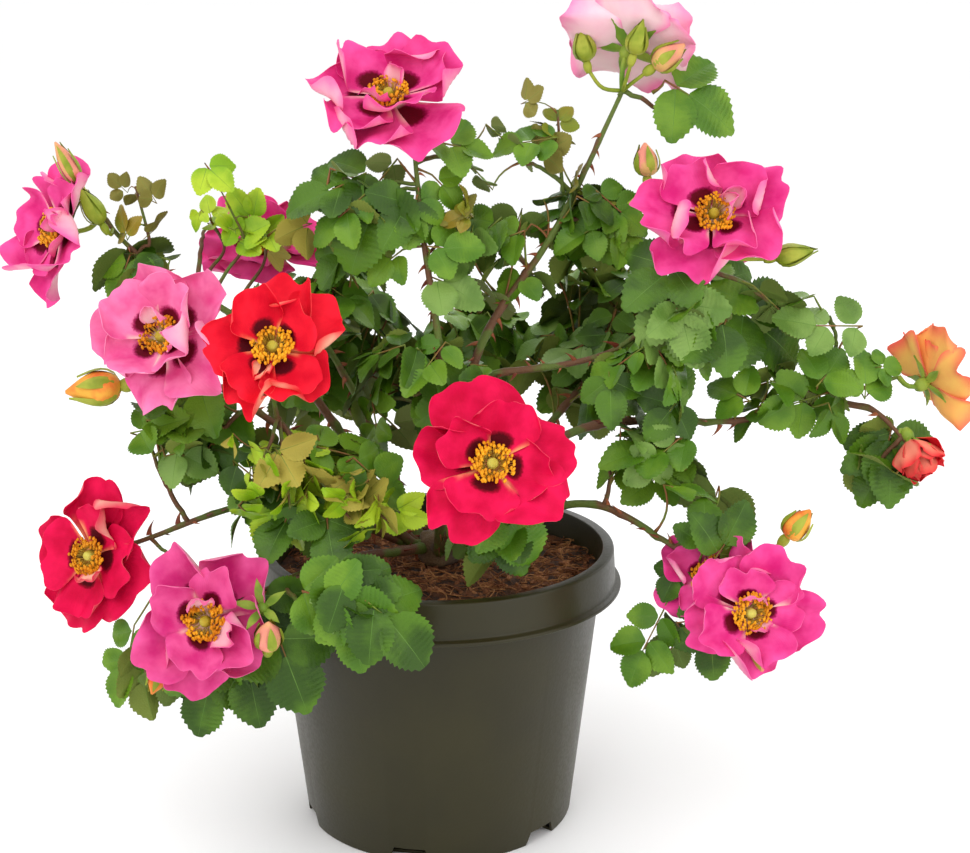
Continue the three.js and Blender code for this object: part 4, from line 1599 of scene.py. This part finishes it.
def sepals(heap, base, axis, length, spread, roll):
    """Five narrow pointed sepals round the foot of a bloom or bud."""
    for index in range(SEPALS):
        share = np.linspace(0, 1, 7)
        half = length * 0.17 * np.sin(np.pi * np.clip(share, 0.06, 0.985)**0.7)
        rise = length * (math.cos(spread) * share - 0.2 * share**2 * math.sin(spread))
        out = 1.8 + length * math.sin(spread) * share
        lines = [np.stack([side * half, out, rise - 0.06 * length * (side == 0)], 1) for side in (-1, 0, 1)]
        add_sepal(heap, lines, index, base, axis, roll)


def hip(heap, base, axis, radius, length, slot=0):
    """The small swelling under a bloom or bud."""
    share = np.linspace(0, 1, 7)
    radii = radius * (0.35 + 0.65 * np.sin(np.pi * (0.12 + 0.72 * share)))
    route = base - np.outer(length * (1 - share), axis)
    heap.add(*tube(route, radii, 10), slot)


def bud_radius(radius, share):
    """A closed bud's radius at a share of its length: full below the middle, pointed at the tip."""
    share = np.clip(share, 0.0, 1.0)
    return radius * (0.1 + 0.92 * np.sin(np.pi * share**0.66)**0.9 * (1 - 0.25 * share**3))


def bud(heap, base, axis, length, radius, slot, roll):
    """A closed bud of furled petals with five sepals pressed to it, shorter, narrower and flared at the tips
    if it shows colour.
    """
    closed = slot == 0
    share = np.linspace(0, 1, 13)
    sides = 16
    route = base + np.outer(share * length, axis)
    points, faces = tube(route, bud_radius(radius, share), sides)
    turn = np.tile(np.linspace(0, 2 * np.pi, sides, endpoint=False), len(share))
    ridge = 1 + 0.1 * np.sin(2 * turn + 6 * np.repeat(share, sides))
    middle = np.repeat(route, sides, axis=0)
    heap.add(middle + (points - middle) * ridge[:, None], faces, slot)
    for index in range(SEPALS):
        along = np.linspace(0, 1, 8)
        reach = (1.12 if index % 2 else 0.92) * (1.0 if closed else 0.84)
        half = radius * (0.52 if closed else 0.36) * np.sin(np.pi * np.clip(along, 0.16, 0.99)**0.9)**0.8
        out = bud_radius(radius, along * reach * 0.94) * 1.08 + 0.3 + (0.1 if closed else 1.3) * along**4
        rise = along * reach * length
        lines = [np.stack([side * half, out - 0.12 * radius * abs(side), rise], 1) for side in (-1, 0, 1)]
        add_sepal(heap, lines, index, base, axis, roll, -1)


def stalk_to(heap, wood, foot, axis, radius):
    """A stalk from the nearest wood that isn't in front of the foot of a bloom or bud."""
    gaps = wood - foot
    away = np.linalg.norm(gaps, axis=1)
    ahead = np.maximum(gaps @ axis, 0)
    start = wood[np.argmin(away + 2 * ahead)]
    reach = np.linalg.norm(start - foot)
    bend = foot - axis * reach * 0.4
    route = smooth_route([start, 0.35 * start + 0.65 * bend, foot], 2.5)
    heap.add(*tube(route, np.linspace(radius * 1.25, radius, len(route)), 7))


BUD_KINDS = ("green", "peach", "orange")
# Where each bud is, the way it points, its length, its radius and its kind.
BUDS = {
    "left": ((-149, -48, 240), (-1.0, -0.1, -0.1), 27, 8.6, "orange"),
    "mid_right": ((105, 10, 333), (-0.1, -0.1, 1.0), 17, 6.2, "peach"),
    "right": ((166, -14, 296), (1.0, -0.1, 0.22), 19, 5.2, "green"),
    "low_right": ((170, -58, 167), (0.55, -0.1, 0.75), 18, 6.6, "orange"),
    "low_left": ((-75, -112, 132), (0.1, -0.4, 0.9), 16, 6.4, "peach"),
    "top_left": ((75, 25, 388), (-0.2, 0.0, 1.0), 17, 5.4, "green"),
    "top_middle": ((97, 12, 392), (0.25, -0.1, 0.95), 16, 5.2, "green"),
    "top_right": ((107, 14, 386), (0.8, -0.2, 0.6), 19, 6.6, "peach"),
    "high_tip": ((-175, -2, 331), (-0.4, -0.2, 0.9), 23, 4.6, "peach"),
    "high_side": ((-164, -4, 311), (-0.45, -0.1, 0.85), 20, 5.0, "green"),
    "under_right": ((153, -80, 120), (0.3, -0.3, -0.9), 13, 4.4, "peach"),
    "under_left": ((-127, -98, 116), (-0.3, -0.5, -0.8), 13, 4.8, "orange"),
    "back": ((-84, 96, 250), (-0.3, 0.5, 0.85), 18, 5.6, "peach"),
}
SPENT = ((-78, -106, 149), (-0.1, -0.7, 0.6))  # place and way of a bloom that has dropped its petals
HALF_OPEN = ((239, -8, 203), (0.3, -0.45, -0.6), 18.0)  # place, way and radius of the one at the right


def stamen_tree(filament, anther):
    """Stamens on a ring of points, each a thread with a golden anther on its end."""
    tree = scatter_tree("stamens", {"Length": (NUMBER, 0.007), "Seed": (WHOLE, 5)})
    nodes = Nodes(tree)
    given = nodes.add("NodeGroupInput")
    thread = nodes.add("GeometryNodeMeshCone", {
        "Vertices": 4, "Radius Top": 0.016, "Radius Bottom": 0.024, "Depth": 0.9})
    thread = nodes.add("GeometryNodeSetMaterial", {"Geometry": thread.outputs["Mesh"], "Material": filament})
    ball = nodes.add("GeometryNodeMeshIcoSphere", {"Radius": 0.1, "Subdivisions": 1})
    ball = nodes.add("GeometryNodeTransform", {
        "Geometry": ball.outputs["Mesh"], "Translation": (0.0, 0.0, 0.95), "Scale": (0.85, 1.3, 0.7)})
    ball = nodes.add("GeometryNodeSetMaterial", {"Geometry": ball.outputs[0], "Material": anther})
    whole = nodes.tree.nodes.new("GeometryNodeJoinGeometry")
    for part in (thread, ball):
        tree.links.new(part.outputs[0], whole.inputs[0])
    turn = nodes.add("FunctionNodeAlignRotationToVector", {"Vector": named_vector(nodes, "out")}, axis="Z")
    size = random_number(nodes, given, 0.75, 1.2)
    scale = nodes.maths("MULTIPLY", size, given.outputs["Length"])
    grown = instanced(nodes, given.outputs["Geometry"], whole.outputs[0], turn.outputs[0], scale)
    real = nodes.add("GeometryNodeRealizeInstances", {0: grown})
    result = nodes.add("NodeGroupOutput")
    tree.links.new(real.outputs[0], result.inputs[0])
    return tree


class ROSE_OT_blooms(bpy.types.Operator):
    """Opens the blooms, each with its petals, sepals and golden stamens"""

    bl_idname = "rose.blooms"
    bl_label = "Blooms"

    def execute(self, context):
        settings = context.scene.rose_bloom
        rng = np.random.default_rng(SEED + 6)
        finishes = {tint: (petal_face("petal_" + tint, body, light, blotch, claw),
                           petal_back("petal_back_" + tint, light, pale))
                    for tint, (body, light, blotch, claw, pale) in PETAL_COLOURS.items()}
        calyx = Heap()
        places, outs = [], []
        wood = np.vstack([route for route, _ in read_canes().values()])
        for name in nodes_named("bloom_"):
            looks = BLOOM_LOOKS[name.removeprefix("bloom_")]
            centre, axis, radius = bloom_pose(name)
            base = centre - axis * radius * PETAL_SHIFT
            self.petals(name, base, axis, radius, looks, finishes[looks[0]], settings, rng, name)
            sepals(calyx, base - axis * 1.0, axis, radius * 0.52, math.radians(74), rng.uniform(0, 6))
            hip(calyx, base + axis * 0.5, axis, 3.6, 7.5)
            hip(calyx, base + axis * 8.6, axis, 2.9, 6.0, 1)
            stalk_to(calyx, wood, base - axis * 5.5, axis, 1.2)
            self.stamen_points(base, axis, settings, places, outs, rng)
        base, axis, radius = (np.array(part, float) for part in HALF_OPEN)
        axis = unit(axis)
        looks = ("ember", "half_open", (), (1.0, 1.0))
        self.petals("half_open", base, axis, radius, looks, finishes["ember"], settings, rng)
        self.bare_calyx(calyx, wood, base, axis, 35, 0.4, 3.4, 1.0)
        base, axis = np.array(SPENT[0], float), unit(np.array(SPENT[1]))
        self.bare_calyx(calyx, wood, base, axis, 62, 0.9, 3.2, 0.9)
        add_piece("calyxes", calyx, [soft_part("sepal"), soft_part("style")], "leaves")
        self.stamens(places, outs)
        self.buds(wood, rng)
        return {"FINISHED"}

    def bare_calyx(self, heap, wood, base, axis, spread, roll, hip_radius, stalk_radius):
        """Sepals at an angle in degrees, a hip and a stalk, with no open bloom on them."""
        sepals(heap, base, axis, SEPAL_LENGTH, math.radians(spread), roll)
        hip(heap, base + axis, axis, hip_radius, 7.0)
        stalk_to(heap, wood, base - axis * 5.0, axis, stalk_radius)

    def buds(self, wood, rng):
        """All the closed buds, with their stalks, as one piece."""
        heap = Heap()
        for place, axis, length, radius, kind in BUDS.values():
            base, axis = np.array(place, float), unit(np.array(axis, float))
            bud(heap, base, axis, length, radius, BUD_KINDS.index(kind), rng.uniform(0, 6))
            hip(heap, base + axis, axis, radius * 0.42, 6.5)
            stalk_to(heap, wood, base - axis * 3.5, axis, 0.9)
        add_piece("buds", heap, [soft_part("bud_" + kind) for kind in BUD_KINDS], "leaves")

    def petals(self, name, base, axis, radius, looks, finish, settings, rng, *nodes):
        """One bloom's petals as a thin closed shell."""
        heap = Heap()
        _, form, petaloids, stretch = looks
        roll = rng.uniform(0, 2 * np.pi)
        for level, (count, length, width, lift, cup, ruffle, curl) in enumerate(WHORLS[form]):
            for index in range(count):
                lean = math.radians(lift + rng.normal(0, 6))
                size = radius * length * rng.uniform(0.86, 1.08)
                points, faces, uv = petal(size, radius * width * rng.uniform(0.88, 1.12), lean, cup,
                                          ruffle, curl, rng)
                points[:, 1] += 1.5
                points[:, 2] += level * 1.6 + 0.4 * (index % 2) + radius * 0.05
                turn = (index + 0.5 * level + rng.normal(0, 0.12)) * 2 * np.pi / count
                placed = local_to_world(turned(points, turn), base, axis, roll, stretch)
                heap.add(placed, [faces], 0, uv)
        for turn, lift, length, width in petaloids:
            points, faces, uv = petal(radius * length, radius * width, math.radians(lift), 0.2, 1.3,
                                      -1.2, rng, 9, 9)
            points[:, 1] += 3.2
            points[:, 2] += radius * 0.08
            spun = turned(points, math.radians(turn))
            heap.add(local_to_world(spun, base, axis), [faces], 1, uv)
        made = add_object(name + "_petals", heap.mesh(name + "_petals", finish))
        shell = made.modifiers.new("thickness", "SOLIDIFY")
        shell.thickness = settings.petal_thickness * MM
        shell.offset = -1.0
        shell.material_offset = 1
        # The thin cut edge takes the back's paler colour, a painted highlight along each petal's rim.
        shell.material_offset_rim = 1
        applied(made)
        made.data.set_sharp_from_angle(angle=math.radians(60))
        declare(made, "petals", *nodes)

    def stamen_points(self, base, axis, settings, places, outs, rng):
        """Where one bloom's stamens stand and which way each leans."""
        for _ in range(settings.stamens):
            turn = rng.uniform(0, 2 * np.pi)
            lean = STAMEN_LEAN * rng.uniform(0.08, 1.0)**0.6
            foot = np.array([[math.cos(turn), math.sin(turn), 0.0]]) * rng.uniform(*STAMEN_RING)
            foot[0, 2] = STAMEN_FOOT
            way = np.array([[math.cos(turn) * lean * 1.2, math.sin(turn) * lean * 1.2, 1.0]])
            places.append(local_to_world(foot, base, axis)[0])
            outs.append(local_to_world(way, np.zeros(3), axis)[0])

    def stamens(self, places, outs):
        """All the stamens as one piece."""
        made = add_object("stamens", point_cloud("stamens", places, {"out": outs}))
        tree = stamen_tree(soft_part("filament"), soft_part("anther"))
        run_tree(made, tree, {"Length": STAMEN_LENGTH * MM, "Seed": SEED})
        if len(made.data.polygons) < len(places):
            raise RuntimeError("the stamens were not made")
        declare(made, "petals")


# ---------------------------------------------------------------------------
# Panel, registration and the run


CLASSES = (StageSettings, PotSettings, CaneSettings, LeafSettings, BloomSettings, ROSE_OT_stage,
           ROSE_OT_pot, ROSE_OT_soil, ROSE_OT_canes, ROSE_OT_thorns, ROSE_OT_leaves, ROSE_OT_blooms)
SETTINGS = {"rose_stage": StageSettings, "rose_pot": PotSettings, "rose_cane": CaneSettings,
            "rose_leaf": LeafSettings, "rose_bloom": BloomSettings}
STEPS = ("stage", "pot", "soil", "canes", "thorns", "leaves", "blooms")


class ROSE_PT_panel(bpy.types.Panel):
    """Lists the rose bush's operators and their settings"""

    bl_idname = "ROSE_PT_panel"
    bl_label = "Potted rose bush"
    bl_space_type = "VIEW_3D"
    bl_region_type = "UI"
    bl_category = "Rose"

    def draw(self, context):
        layout = self.layout
        for step in STEPS:
            layout.operator("rose." + step)
        for name, group in SETTINGS.items():
            box = layout.box()
            for setting in group.__annotations__:
                box.prop(getattr(context.scene, name), setting)


def register():
    for cls in (*CLASSES, ROSE_PT_panel):
        bpy.utils.register_class(cls)
    for name, group in SETTINGS.items():
        setattr(bpy.types.Scene, name, PointerProperty(type=group))


def unregister():
    for name in SETTINGS:
        delattr(bpy.types.Scene, name)
    for cls in reversed((*CLASSES, ROSE_PT_panel)):
        bpy.utils.unregister_class(cls)


def main():
    """Builds every piece in order."""
    register()
    for step in STEPS:
        getattr(bpy.ops.rose, step)()


if __name__ == "__main__":
    main()
